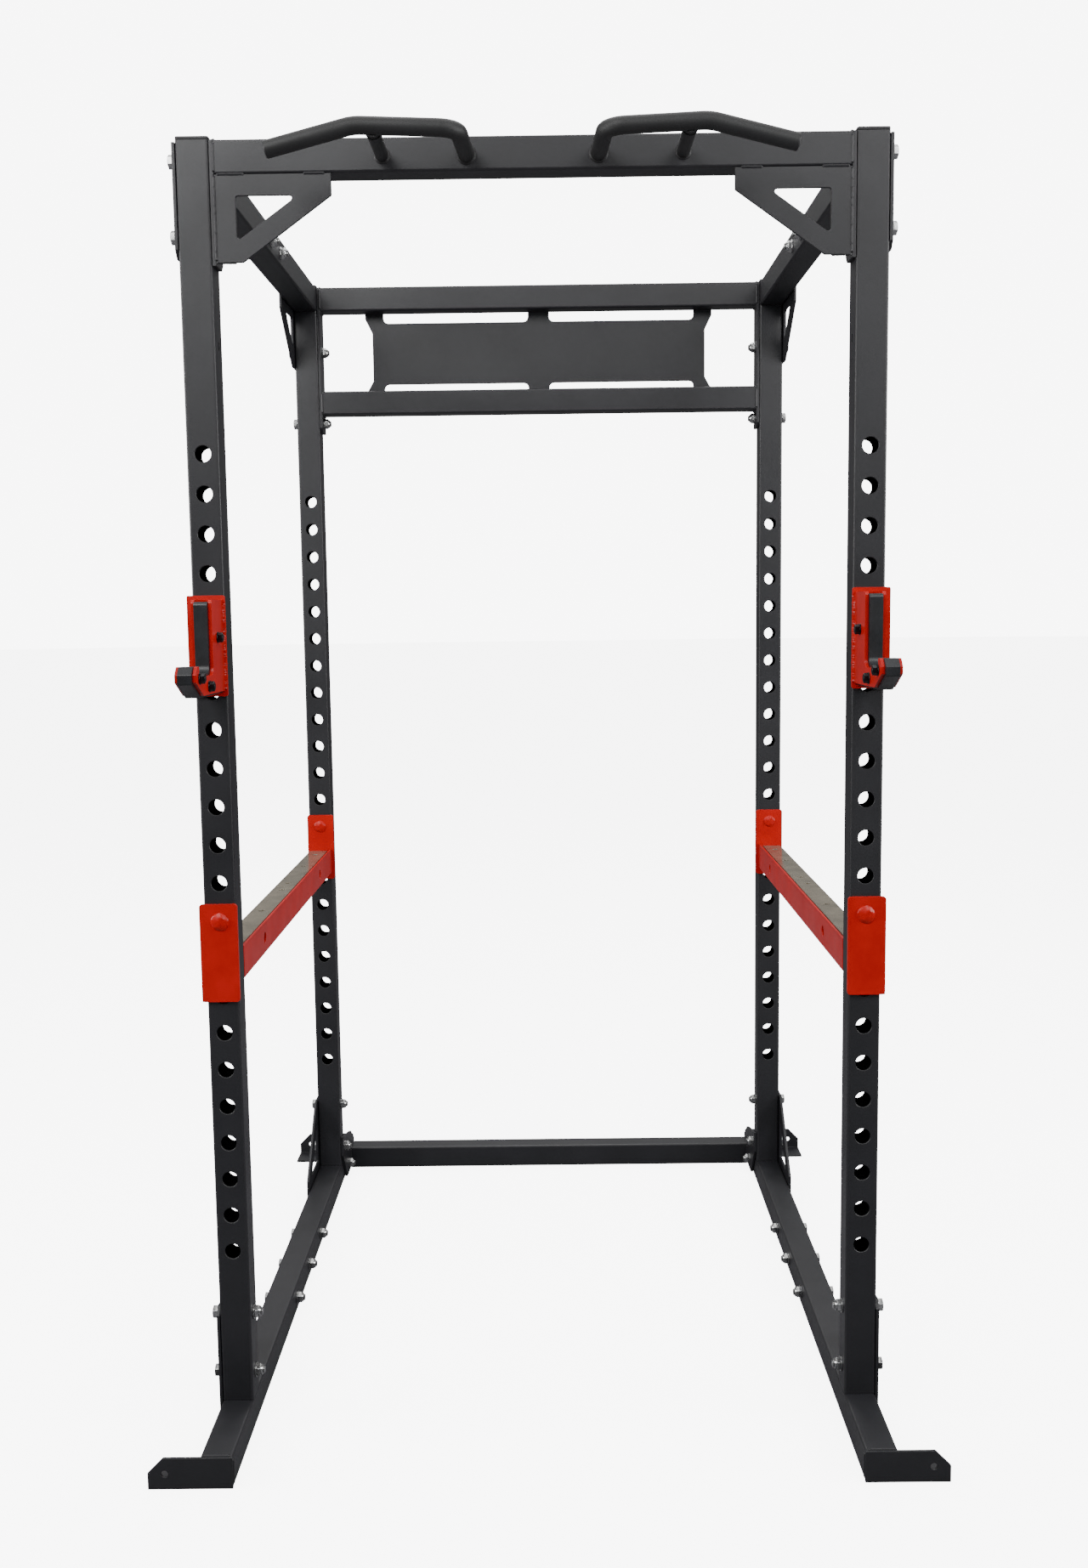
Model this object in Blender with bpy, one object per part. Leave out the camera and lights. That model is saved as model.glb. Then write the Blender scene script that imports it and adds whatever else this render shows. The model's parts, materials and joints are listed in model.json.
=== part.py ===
"""Power cage: a bolted four-post rack of square tube with a pull-up beam, J-hooks and flip-down safeties.

Frame: +Z up, the lifter walks in from -Y, +X is the right side seen from there. The origin is on the
floor, at the middle of the footprint. Units are metres.
"""
import math

import bmesh
import bpy
from mathutils import Matrix, Vector

# Driving dimensions of the frame
TUBE = 0.050                 # outer width of every square tube
WALL = 0.003                 # tube wall
PLATE = 0.005                # gusset and angle thickness
GAP = 0.0003                 # clearance between pieces that touch
POST_SPACING_X = 1.010       # centre to centre, side to side
POST_SPACING_Y = 1.050       # centre to centre, front to back
BASE_OVERHANG = 0.170        # base rail beyond the outer face of an upright
STEEL_TOP = 2.020            # top of the uprights and of the top frame

# Pin holes of the uprights
HOLE_DIAMETER = 0.025
HOLE_PITCH = 0.060
HOLE_COUNT = 22
TOP_HOLE_Z = 1.563
HOLE_SIDES = 10

# Top caps of the uprights
CAP_THICKNESS = 0.005
CAP_PLUG_DEPTH = 0.012
CAP_PLUG_CLEARANCE = 0.0005

# Angle feet
FOOT_REACH = 0.080           # beyond the outer side of the rail
FOOT_FLANGE = 0.060
FOOT_CHAMFER = 0.024
FOOT_HOLE_DIAMETER = 0.011
FOOT_HOLE_INSET = 0.026

# Outer corner gussets
GUSSET_RUN = 0.200           # along the rail, from the far face of the upright
TOP_GUSSET_RISE = 0.167      # along the upright
BASE_GUSSET_RISE = 0.203
GUSSET_EDGE_SETBACK = 0.003  # from the outer edge of the rail
GUSSET_NOSE = 0.020          # blunt end on the rail
GUSSET_CHAMFER = 0.012       # blunt end on the upright
GUSSET_MARGIN = 0.015        # steel between the window and the two tubes
GUSSET_BRACE = 0.032         # steel between the window and the sloping edge
GUSSET_WINDOW_RADIUS = 0.006

# Pull-up beam, its end plates and corner gussets
END_PLATE = 0.006
FRONT_END_PLATE_DROP = 0.182
END_PLATE_CHAMFER = 0.010
CORNER_GUSSET_WIDTH = 0.174
CORNER_GUSSET_HEIGHT = 0.127
CORNER_GUSSET_NOSE = 0.032   # depth of the short end on the beam
CORNER_GUSSET_FOOT = 0.040   # width of the low end on the end plate
CORNER_GUSSET_BAND = 0.031   # steel above the window
CORNER_GUSSET_POST = 0.031   # steel beside the window
CORNER_GUSSET_BRACE = 0.030  # width of the sloping strip under the window
CORNER_WINDOW_RADIUS = 0.004

# Multi-grip handles on the pull-up beam
GRIP_DIAMETER = 0.025
GRIP_SIDES = 12
GRIP_REACH = 0.125           # centre line ahead of the beam face
GRIP_FOOT_X = 0.098
GRIP_INNER_X = 0.104
GRIP_OUTER_X = 0.250
GRIP_END_X = 0.376
GRIP_FOOT_DROP = 0.027       # from the top of the beam down to the centre line
GRIP_OUTER_RISE = 0.006
GRIP_END_DROP = 0.026
GRIP_INNER_BEND = 0.028
GRIP_OUTER_BEND = 0.080
GRIP_POST_X = 0.223
GRIP_POST_DIAMETER = 0.020

# Rear top panel
LOWER_BEAM_TOP = 1.800
REAR_END_PLATE_BOTTOM = 1.712
NAME_PLATE_THICKNESS = 0.003
NAME_PLATE_INSET = 0.007     # front face, from the rear faces of the beams
NAME_PLATE_EAR_X = 0.380
NAME_PLATE_BODY_X = 0.365
NAME_PLATE_EAR_HEIGHT = 0.026
NAME_PLATE_SLOT_INNER_X = 0.023
NAME_PLATE_SLOT_OUTER_X = 0.340
NAME_PLATE_TOP_SLOT = 0.020
NAME_PLATE_BOTTOM_SLOT = 0.018
NAME_PLATE_SLOT_RADIUS = 0.010

# Rear base crossmember
CROSSMEMBER_SETBACK = 0.070  # behind the rear face of the rear uprights
BASE_END_PLATE_FRONT_TOP = 0.118
BASE_END_PLATE_REAR_TOP = 0.086
BASE_END_PLATE_REAR_LIP = 0.060

# Corner bolts (M12) and the holes they pass through
BOLT_DIAMETER = 0.012
BOLT_HOLE_DIAMETER = 0.0135
BOLT_HEAD_DIAMETER = 0.019
BOLT_HEAD_HEIGHT = 0.0075
BOLT_NUT_HEIGHT = 0.010
BOLT_TAIL = 0.004
WASHER_DIAMETER = 0.024
WASHER_THICKNESS = 0.0025
BASE_BOLT_HEIGHTS = {"upper": 0.190, "lower": 0.090}

# Hinge pins welded into the J-hooks and safeties
PIN_DIAMETER = 0.023
PIN_SIDES = 16
PIN_TAIL = 0.011             # beyond the far wall of the upright
BRACKET_PLATE = 0.006
HOOK_PLATE_OVERLAPS = (0.001, 0.007)          # beyond the inner and outer sides of the upright
SAFETY_FRONT_PLATE_OVERLAPS = (0.003, 0.0065)
SAFETY_REAR_PLATE_OVERLAPS = (0.005, 0.003)

# J-hooks
HOOK_HOLE_INDEX = 4
HOOK_PLATE_ABOVE_PIN = 0.027
HOOK_PLATE_HEIGHT = 0.154
HOOK_FLANGE_DROP = 0.038     # from the pin down to the top of the flange
HOOK_FLANGE_DEPTH = 0.045
HOOK_SIDE_PLATE = 0.005
HOOK_SIDE_PLATE_INSET = 0.002
HOOK_CORE = 0.0200
HOOK_BODY_DEPTH = 0.079
HOOK_TOTAL_DEPTH = 0.194
HOOK_LIP = 0.022
HOOK_LIP_HEIGHT = 0.016
HOOK_TOP_MARGIN = 0.007
HOOK_FLOOR_ABOVE_BOTTOM = 0.036
HOOK_KEEL_ABOVE_BOTTOM = 0.009
HOOK_CHIN_LENGTH = 0.046     # sloped underside at the nose
HOOK_CHIN_RISE = 0.021
HOOK_CORE_PROUD = 0.006
HOOK_FLOOR_PROUD = 0.003
HOOK_CORNER_RADIUS = 0.012   # at the back of the cradle
HOOK_CROWN_RADIUS = 0.006    # at the top of the body

# Safeties
SAFETY_HOLE_INDEX = 12
SAFETY_PLATE_ABOVE_PIN = 0.028
SAFETY_PLATE_HEIGHT = 0.156
SAFETY_REAR_PLATE_ABOVE_PIN = 0.026
SAFETY_REAR_PLATE_HEIGHT = 0.145
SAFETY_FLANGE_DROP = 0.034
SAFETY_FLANGE_OVERLAP = 0.060  # along the side of the bar
SAFETY_BAR_TOP_DROP = 0.050    # from the pin down to the top of the bar
SAFETY_BAR_HEIGHT = 0.053
SAFETY_BAR_WALL = 0.004
SAFETY_BAR_CLEARANCE = 0.0015  # to the upright it swings past
SAFETY_LINER = 0.008
SAFETY_LINER_RECESS = 0.005     # below the top of the inner wall
SAFETY_LINER_SET_OFF = 0.006    # from the inner wall
SAFETY_LINER_SET_IN = 0.001     # from the outer side of the bar
SAFETY_LINER_SPLIT_Y = 0.050
SAFETY_LINER_SPLIT_GAP = 0.003
SAFETY_SIDE_HOLE_DIAMETER = 0.019
SAFETY_SIDE_HOLE_INSET = 0.180
SAFETY_SIDE_HOLE_DROP = 0.027  # from the top of the bar

# Positions worked out from the dimensions above
POST_X = POST_SPACING_X / 2
INNER_X = POST_X - TUBE / 2
OUTER_X = POST_X + TUBE / 2
POST_Y = POST_SPACING_Y / 2
FACE_Y = POST_Y + TUBE / 2           # outer faces of the uprights, front and rear
BACK_Y = POST_Y - TUBE / 2           # faces of the uprights towards the inside of the cage
RAIL_END_Y = FACE_Y + BASE_OVERHANG
TOP_FRAME_Z = STEEL_TOP - TUBE       # underside of the top frame
END_PLATE_X = INNER_X - GAP - END_PLATE
CROSS_TUBE_X = END_PLATE_X - GAP
HOOK_REACH_Y = FACE_Y + GAP + BRACKET_PLATE + GAP + HOOK_TOTAL_DEPTH + HOOK_CORE_PROUD
MIDDLE_Y = (RAIL_END_Y - max(HOOK_REACH_Y, RAIL_END_Y)) / 2   # of the footprint, the posts being at +-POST_Y
GUSSET_X = OUTER_X + GAP
GRIP_FOOT_Z = STEEL_TOP - GRIP_FOOT_DROP
NAME_PLATE_Y = FACE_Y - NAME_PLATE_INSET

SIDES = {"left": -1, "right": 1}
ENDS = {"front": -1, "rear": 1}

# Colour, roughness, metallic
MATERIALS = {
    "black_powder_coat": ((0.045, 0.045, 0.050), 0.48, 0.0),
    "red_powder_coat": ((0.62, 0.035, 0.020), 0.38, 0.0),
    "black_plastic": ((0.012, 0.013, 0.015), 0.50, 0.0),
    "grey_liner": ((0.110, 0.100, 0.085), 0.62, 0.0),
    "zinc_plate": ((0.62, 0.62, 0.60), 0.30, 1.0),
}


def hole_z(index):
    """Height of a pin hole, counted from the top one."""
    return TOP_HOLE_Z - index * HOLE_PITCH


def clear_scene():
    for item in list(bpy.data.objects):
        bpy.data.objects.remove(item, do_unlink=True)


def material(name):
    """Return the named material, made on first use."""
    found = bpy.data.materials.get(name)
    if found:
        return found
    colour, roughness, metallic = MATERIALS[name]
    made = bpy.data.materials.new(name)
    made.use_nodes = True
    shader = made.node_tree.nodes["Principled BSDF"]
    shader.inputs["Base Color"].default_value = (*colour, 1.0)
    shader.inputs["Roughness"].default_value = roughness
    shader.inputs["Metallic"].default_value = metallic
    return made


# ---------------------------------------------------------------- shapes

def prism(bm, outline, axis, start, end):
    """Extrude a closed outline from start to end along X, Y or Z.

    The outline holds (y, z) pairs for X, (x, z) pairs for Y and (x, y) pairs for Z.
    """
    place = {
        "X": lambda a, b, along: (along, a, b),
        "Y": lambda a, b, along: (a, along, b),
        "Z": lambda a, b, along: (a, b, along),
    }[axis]
    first = [bm.verts.new(place(a, b, start)) for a, b in outline]
    last = [bm.verts.new(place(a, b, end)) for a, b in outline]
    faces = [bm.faces.new(first), bm.faces.new(last)]
    for i in range(len(outline)):
        j = (i + 1) % len(outline)
        faces.append(bm.faces.new((first[i], first[j], last[j], last[i])))
    bmesh.ops.recalc_face_normals(bm, faces=faces)


def box(bm, x, y, z):
    """A block between pairs of x, y and z."""
    prism(bm, rectangle(x, y), "Z", min(z), max(z))


def rectangle(a, b):
    """Outline of a rectangle between two pairs of values."""
    return [(min(a), min(b)), (max(a), min(b)), (max(a), max(b)), (min(a), max(b))]


def square_tube(bm, axis, centre, start, end):
    """A hollow square tube with open ends."""
    place = {
        "X": lambda a, b, along: (along, a, b),
        "Y": lambda a, b, along: (a, along, b),
        "Z": lambda a, b, along: (a, b, along),
    }[axis]
    rings = []
    for half, along in ((TUBE / 2, start), (TUBE / 2, end), (TUBE / 2 - WALL, end), (TUBE / 2 - WALL, start)):
        corners = [(-half, -half), (half, -half), (half, half), (-half, half)]
        rings.append([bm.verts.new(place(centre[0] + a, centre[1] + b, along)) for a, b in corners])
    faces = []
    for k in range(4):
        ring = rings[k]
        following = rings[(k + 1) % 4]
        for i in range(4):
            j = (i + 1) % 4
            faces.append(bm.faces.new((ring[i], ring[j], following[j], following[i])))
    bmesh.ops.recalc_face_normals(bm, faces=faces)


def circle(centre, diameter, sides):
    """Outline of a regular polygon with its corners on a circle."""
    points = []
    for i in range(sides):
        angle = 2 * math.pi * (i + 0.5) / sides
        points.append((
            centre[0] + diameter / 2 * math.cos(angle),
            centre[1] + diameter / 2 * math.sin(angle),
        ))
    return points


def rounded(outline, radii, steps=3):
    """Replace the corners of an outline by arcs; a radius of 0 keeps a corner sharp."""
    points = []
    count = len(outline)
    for i in range(count):
        corner = Vector(outline[i])
        before = (Vector(outline[i - 1]) - corner).normalized()
        after = (Vector(outline[(i + 1) % count]) - corner).normalized()
        radius = radii[i] if isinstance(radii, (list, tuple)) else radii
        if radius == 0:
            points.append(tuple(corner))
            continue
        half_angle = before.angle(after) / 2
        reach = radius / math.tan(half_angle)
        centre = corner + (before + after).normalized() * radius / math.sin(half_angle)
        start = corner + before * reach - centre
        turn = start.angle_signed(corner + after * reach - centre)
        for k in range(steps + 1):
            angle = -turn * k / steps
            spoke = Matrix.Rotation(angle, 2) @ start
            points.append(tuple(centre + spoke))
    return points


def turned(bm, profile, axis_point, direction, sides):
    """A solid turned about the X axis direction, from (radius, distance) pairs."""
    rings = []
    for radius, distance in profile:
        ring = []
        for i in range(sides):
            angle = 2 * math.pi * (i + 0.5) / sides
            ring.append(bm.verts.new((
                axis_point[0] + direction * distance,
                axis_point[1] + radius * math.cos(angle),
                axis_point[2] + radius * math.sin(angle),
            )))
        rings.append(ring)
    faces = [bm.faces.new(rings[0]), bm.faces.new(rings[-1])]
    for ring, following in zip(rings, rings[1:]):
        for i in range(sides):
            j = (i + 1) % sides
            faces.append(bm.faces.new((ring[i], ring[j], following[j], following[i])))
    bmesh.ops.recalc_face_normals(bm, faces=faces)


def bent_path(points, radii, steps):
    """Centre line of a bent tube: straight runs joined by arcs at the inner points."""
    path = [Vector(points[0])]
    for i, radius in enumerate(radii, start=1):
        corner = Vector(points[i])
        before = (Vector(points[i - 1]) - corner).normalized()
        after = (Vector(points[i + 1]) - corner).normalized()
        half_angle = before.angle(after) / 2
        centre = corner + (before + after).normalized() * radius / math.sin(half_angle)
        start = corner + before * radius / math.tan(half_angle) - centre
        end = corner + after * radius / math.tan(half_angle) - centre
        for k in range(steps + 1):
            path.append(centre + start.slerp(end, k / steps).normalized() * radius)
    path.append(Vector(points[-1]))
    return path


def swept_tube(bm, path, diameter, sides):
    """A round bar along a path, with a flat face at each end."""
    normal = Vector((0, 0, 1))
    rings = []
    for i, point in enumerate(path):
        along = (path[min(i + 1, len(path) - 1)] - path[max(i - 1, 0)]).normalized()
        normal = (normal - along * normal.dot(along)).normalized()
        side = along.cross(normal)
        ring = []
        for k in range(sides):
            angle = 2 * math.pi * (k + 0.5) / sides
            spoke = normal * math.cos(angle) + side * math.sin(angle)
            ring.append(bm.verts.new(point + spoke * diameter / 2))
        rings.append(ring)
    faces = [bm.faces.new(rings[0]), bm.faces.new(rings[-1])]
    for ring, following in zip(rings, rings[1:]):
        for k in range(sides):
            j = (k + 1) % sides
            faces.append(bm.faces.new((ring[k], ring[j], following[j], following[k])))
    bmesh.ops.recalc_face_normals(bm, faces=faces)


# ---------------------------------------------------------------- objects

def add_object(name, bm, material_name, origin=(0, 0, 0)):
    """Turn a bmesh into an object whose origin is at the given point, both counted from the middle of the posts.

    The object is placed with the middle of the whole footprint at the world origin.
    """
    bmesh.ops.translate(bm, verts=bm.verts, vec=-Vector(origin))
    mesh = bpy.data.meshes.new(name)
    bm.to_mesh(mesh)
    bm.free()
    made = bpy.data.objects.new(name, mesh)
    made.location = Vector(origin) - Vector((0, MIDDLE_Y, 0))
    bpy.context.collection.objects.link(made)
    mesh.materials.append(material(material_name))
    mesh.shade_smooth()
    mesh.set_sharp_from_angle(angle=math.radians(40))
    return made


def modify(target, bm, operation):
    """Cut a helper solid from the target, or join it on, and hide the helper."""
    helper = add_object(target.name + "_" + operation.lower(), bm, target.active_material.name)
    helper.hide_render = True
    helper.display_type = "WIRE"
    step = target.modifiers.new(operation.lower(), "BOOLEAN")
    step.operation = operation
    step.object = helper


def cut(target, bm):
    modify(target, bm, "DIFFERENCE")


def join(target, bm):
    modify(target, bm, "UNION")


# ---------------------------------------------------------------- frame

def make_upright(side_name, end_name):
    side = SIDES[side_name]
    end = ENDS[end_name]
    centre = (side * POST_X, end * POST_Y)
    bottom = TUBE + GAP
    bm = bmesh.new()
    square_tube(bm, "Z", centre, bottom, STEEL_TOP)
    name = f"upright_{end_name}_{side_name}"
    upright = add_object(name, bm, "black_powder_coat", (*centre, bottom))
    holes = bmesh.new()
    reach = TUBE
    for index in range(HOLE_COUNT):
        outline = circle((centre[0], hole_z(index)), HOLE_DIAMETER, HOLE_SIDES)
        prism(holes, outline, "Y", centre[1] - reach, centre[1] + reach)
    for height in BASE_BOLT_HEIGHTS.values():
        outline = circle((centre[1], height), BOLT_HOLE_DIAMETER, HOLE_SIDES)
        prism(holes, outline, "X", centre[0] - reach, centre[0] + reach)
    cut(upright, holes)


def make_upright_cap(side_name, end_name):
    centre = Vector((SIDES[side_name] * POST_X, ENDS[end_name] * POST_Y))
    half = TUBE / 2
    plug = half - WALL - CAP_PLUG_CLEARANCE
    seat = STEEL_TOP + GAP
    top = seat + CAP_THICKNESS
    bm = bmesh.new()
    box(bm, (centre.x - half, centre.x + half), (centre.y - half, centre.y + half), (seat, top))
    name = f"upright_cap_{end_name}_{side_name}"
    cap = add_object(name, bm, "black_plastic", (*centre, seat))
    bm = bmesh.new()
    middle = seat + CAP_THICKNESS / 2
    box(bm, (centre.x - plug, centre.x + plug), (centre.y - plug, centre.y + plug), (seat - CAP_PLUG_DEPTH, middle))
    join(cap, bm)


def make_base_rail(side_name):
    centre = (SIDES[side_name] * POST_X, TUBE / 2)
    half_length = RAIL_END_Y - PLATE - GAP
    bm = bmesh.new()
    square_tube(bm, "Y", centre, -half_length, half_length)
    add_object(f"base_rail_{side_name}", bm, "black_powder_coat", (centre[0], 0, 0))


def make_foot(side_name, end_name):
    """Angle foot: the upright leg closes the rail end, the flange lies on the floor beside the rail."""
    side = SIDES[side_name]
    end = ENDS[end_name]
    tip = OUTER_X + FOOT_REACH
    outline = [
        (side * INNER_X, 0),
        (side * tip, 0),
        (side * tip, TUBE - FOOT_CHAMFER),
        (side * (tip - FOOT_CHAMFER), TUBE),
        (side * INNER_X, TUBE),
    ]
    bm = bmesh.new()
    prism(bm, outline, "Y", end * RAIL_END_Y, end * (RAIL_END_Y - PLATE))
    origin = (side * OUTER_X, end * RAIL_END_Y, 0)
    foot = add_object(f"foot_{end_name}_{side_name}", bm, "black_powder_coat", origin)
    bm = bmesh.new()
    inner_edge = OUTER_X + GAP
    box(bm, (side * inner_edge, side * tip), (end * (RAIL_END_Y - PLATE / 2), end * (RAIL_END_Y - FOOT_FLANGE)), (0, PLATE))
    join(foot, bm)
    bm = bmesh.new()
    hole = circle((side * (tip - FOOT_HOLE_INSET), TUBE / 2), FOOT_HOLE_DIAMETER, HOLE_SIDES)
    prism(bm, hole, "Y", end * (RAIL_END_Y + PLATE), end * (RAIL_END_Y - 2 * PLATE))
    cut(foot, bm)


def gusset_outlines(rise, band):
    """Outer outline and window of a corner gusset, as (along the rail, along the upright) pairs.

    The corner is at (0, 0); band is how far the plate covers the rail.
    """
    shoulder = band + GUSSET_NOSE
    outline = [
        (0, 0),
        (GUSSET_RUN, 0),
        (GUSSET_RUN, shoulder),
        (TUBE + GUSSET_CHAMFER, rise),
        (GUSSET_CHAMFER, rise),
        (0, rise - GUSSET_CHAMFER),
    ]
    slope_start = Vector((GUSSET_RUN, shoulder))
    slope_end = Vector((TUBE + GUSSET_CHAMFER, rise))
    along = (slope_end - slope_start).normalized()
    inward = Vector((along.y, -along.x))
    if inward.x > 0:
        inward = -inward
    anchor = slope_start + inward * GUSSET_BRACE
    left = TUBE + GUSSET_MARGIN
    low = band + GUSSET_MARGIN
    right = anchor.x + along.x * (low - anchor.y) / along.y
    high = anchor.y + along.y * (left - anchor.x) / along.x
    window = rounded([(left, low), (right, low), (left, high)], GUSSET_WINDOW_RADIUS)
    return outline, window


def make_gusset(side_name, end_name, level):
    """Outer corner plate; the one at the foot also carries the two bolts of the upright."""
    side = SIDES[side_name]
    end = ENDS[end_name]
    band = TUBE - GUSSET_EDGE_SETBACK
    if level == "top":
        outline, window = gusset_outlines(TOP_GUSSET_RISE, band)
        edge = STEEL_TOP - GUSSET_EDGE_SETBACK
        direction = -1
    else:
        outline, window = gusset_outlines(BASE_GUSSET_RISE, band)
        edge = GUSSET_EDGE_SETBACK
        direction = 1
    inner = side * GUSSET_X
    outer = side * (GUSSET_X + PLATE)
    bm = bmesh.new()
    prism(bm, [(end * (FACE_Y - u), edge + direction * v) for u, v in outline], "X", inner, outer)
    name = f"{level}_gusset_{end_name}_{side_name}"
    gusset = add_object(name, bm, "black_powder_coat", (inner, end * FACE_Y, edge))
    bm = bmesh.new()
    reach = (inner - side * PLATE, outer + side * PLATE)
    prism(bm, [(end * (FACE_Y - u), edge + direction * v) for u, v in window], "X", *reach)
    if level == "base":
        for height in BASE_BOLT_HEIGHTS.values():
            prism(bm, circle((end * POST_Y, height), BOLT_HOLE_DIAMETER, HOLE_SIDES), "X", *reach)
    cut(gusset, bm)


def make_top_rail(side_name):
    centre = (SIDES[side_name] * POST_X, STEEL_TOP - TUBE / 2)
    half_length = BACK_Y - GAP
    bm = bmesh.new()
    square_tube(bm, "Y", centre, -half_length, half_length)
    add_object(f"top_rail_{side_name}", bm, "black_powder_coat", (centre[0], 0, centre[1]))


def make_cross_tube(name, centre):
    """A side-to-side tube between two end plates."""
    bm = bmesh.new()
    square_tube(bm, "X", centre, -CROSS_TUBE_X, CROSS_TUBE_X)
    add_object(name, bm, "black_powder_coat", (0, *centre))


def make_end_plate(side_name, end_name, bottom):
    """Bolting plate between a cross tube and the inner side of an upright."""
    side = SIDES[side_name]
    end = ENDS[end_name]
    near = end * FACE_Y
    far = end * BACK_Y
    outline = [
        (near, bottom),
        (far - end * -END_PLATE_CHAMFER, bottom),
        (far, bottom + END_PLATE_CHAMFER),
        (far, STEEL_TOP),
        (near, STEEL_TOP),
    ]
    bm = bmesh.new()
    prism(bm, outline, "X", side * END_PLATE_X, side * (END_PLATE_X + END_PLATE))
    origin = (side * END_PLATE_X, end * POST_Y, STEEL_TOP)
    add_object(f"{end_name}_end_plate_{side_name}", bm, "black_powder_coat", origin)


def make_corner_gusset(side_name):
    """Windowed brace under the pull-up beam, flush with its front face."""
    side = SIDES[side_name]
    top = TOP_FRAME_Z - GAP
    root = CROSS_TUBE_X
    bottom = top - CORNER_GUSSET_HEIGHT
    slope_start = Vector((root - CORNER_GUSSET_WIDTH, top - CORNER_GUSSET_NOSE))
    slope_end = Vector((root - CORNER_GUSSET_FOOT, bottom))
    outline = [(root, top), (root - CORNER_GUSSET_WIDTH, top), slope_start, slope_end, (root, bottom)]
    along = (slope_end - slope_start).normalized()
    inward = Vector((-along.y, along.x))
    anchor = slope_start + inward * CORNER_GUSSET_BRACE
    window_top = top - CORNER_GUSSET_BAND
    window_side = root - CORNER_GUSSET_POST
    tip_x = anchor.x + along.x * (window_top - anchor.y) / along.y
    tip_z = anchor.y + along.y * (window_side - anchor.x) / along.x
    window = rounded([(window_side, window_top), (tip_x, window_top), (window_side, tip_z)], CORNER_WINDOW_RADIUS)
    bm = bmesh.new()
    prism(bm, [(side * x, z) for x, z in outline], "Y", -FACE_Y, -FACE_Y + PLATE)
    origin = (side * root, -FACE_Y, top)
    gusset = add_object(f"front_corner_gusset_{side_name}", bm, "black_powder_coat", origin)
    bm = bmesh.new()
    prism(bm, [(side * x, z) for x, z in window], "Y", -FACE_Y - PLATE, -FACE_Y + 2 * PLATE)
    cut(gusset, bm)


def make_grip(side_name):
    """Bent pull-up handle with a mid post, both standing on the front face of the beam."""
    side = SIDES[side_name]
    face = -FACE_Y - GAP
    bar_y = -FACE_Y - GRIP_REACH
    points = [
        (side * GRIP_FOOT_X, face, GRIP_FOOT_Z),
        (side * GRIP_INNER_X, bar_y, GRIP_FOOT_Z),
        (side * GRIP_OUTER_X, bar_y, GRIP_FOOT_Z + GRIP_OUTER_RISE),
        (side * GRIP_END_X, bar_y, GRIP_FOOT_Z - GRIP_END_DROP),
    ]
    path = bent_path(points, (GRIP_INNER_BEND, GRIP_OUTER_BEND), 5)
    bm = bmesh.new()
    swept_tube(bm, path, GRIP_DIAMETER, GRIP_SIDES)
    foot = bm.verts[:GRIP_SIDES]
    for vert in foot:
        vert.co.y = face
    grip = add_object(f"pullup_grip_{side_name}", bm, "black_plastic", points[0])
    bm = bmesh.new()
    prism(bm, circle((side * GRIP_POST_X, GRIP_FOOT_Z), GRIP_POST_DIAMETER, GRIP_SIDES), "Y", face, bar_y)
    join(grip, bm)


def make_name_plate():
    """Blank cut-out panel between the two rear beams."""
    top = TOP_FRAME_Z - GAP
    bottom = LOWER_BEAM_TOP + GAP
    waist = NAME_PLATE_EAR_X - NAME_PLATE_BODY_X
    half = [
        (0, bottom),
        (NAME_PLATE_SLOT_INNER_X, bottom),
        (NAME_PLATE_SLOT_INNER_X, bottom + NAME_PLATE_BOTTOM_SLOT),
        (NAME_PLATE_SLOT_OUTER_X, bottom + NAME_PLATE_BOTTOM_SLOT),
        (NAME_PLATE_SLOT_OUTER_X, bottom),
        (NAME_PLATE_EAR_X, bottom),
        (NAME_PLATE_BODY_X, bottom + NAME_PLATE_EAR_HEIGHT),
        (NAME_PLATE_BODY_X, top - NAME_PLATE_EAR_HEIGHT - waist),
        (NAME_PLATE_EAR_X, top - NAME_PLATE_EAR_HEIGHT + waist),
        (NAME_PLATE_EAR_X, top),
        (NAME_PLATE_SLOT_OUTER_X, top),
        (NAME_PLATE_SLOT_OUTER_X, top - NAME_PLATE_TOP_SLOT),
        (NAME_PLATE_SLOT_INNER_X, top - NAME_PLATE_TOP_SLOT),
        (NAME_PLATE_SLOT_INNER_X, top),
    ]
    radii = [0, 0, NAME_PLATE_SLOT_RADIUS, NAME_PLATE_SLOT_RADIUS, 0, 0, NAME_PLATE_SLOT_RADIUS]
    radii += [NAME_PLATE_SLOT_RADIUS, 0, 0, 0, NAME_PLATE_SLOT_RADIUS, NAME_PLATE_SLOT_RADIUS, 0]
    half = [point for point in rounded(half, radii) if point[0] > 0]
    outline = half + [(-x, z) for x, z in reversed(half)]
    bm = bmesh.new()
    prism(bm, outline, "Y", NAME_PLATE_Y, NAME_PLATE_Y + NAME_PLATE_THICKNESS)
    add_object("name_plate", bm, "black_powder_coat", (0, NAME_PLATE_Y, bottom))


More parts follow.
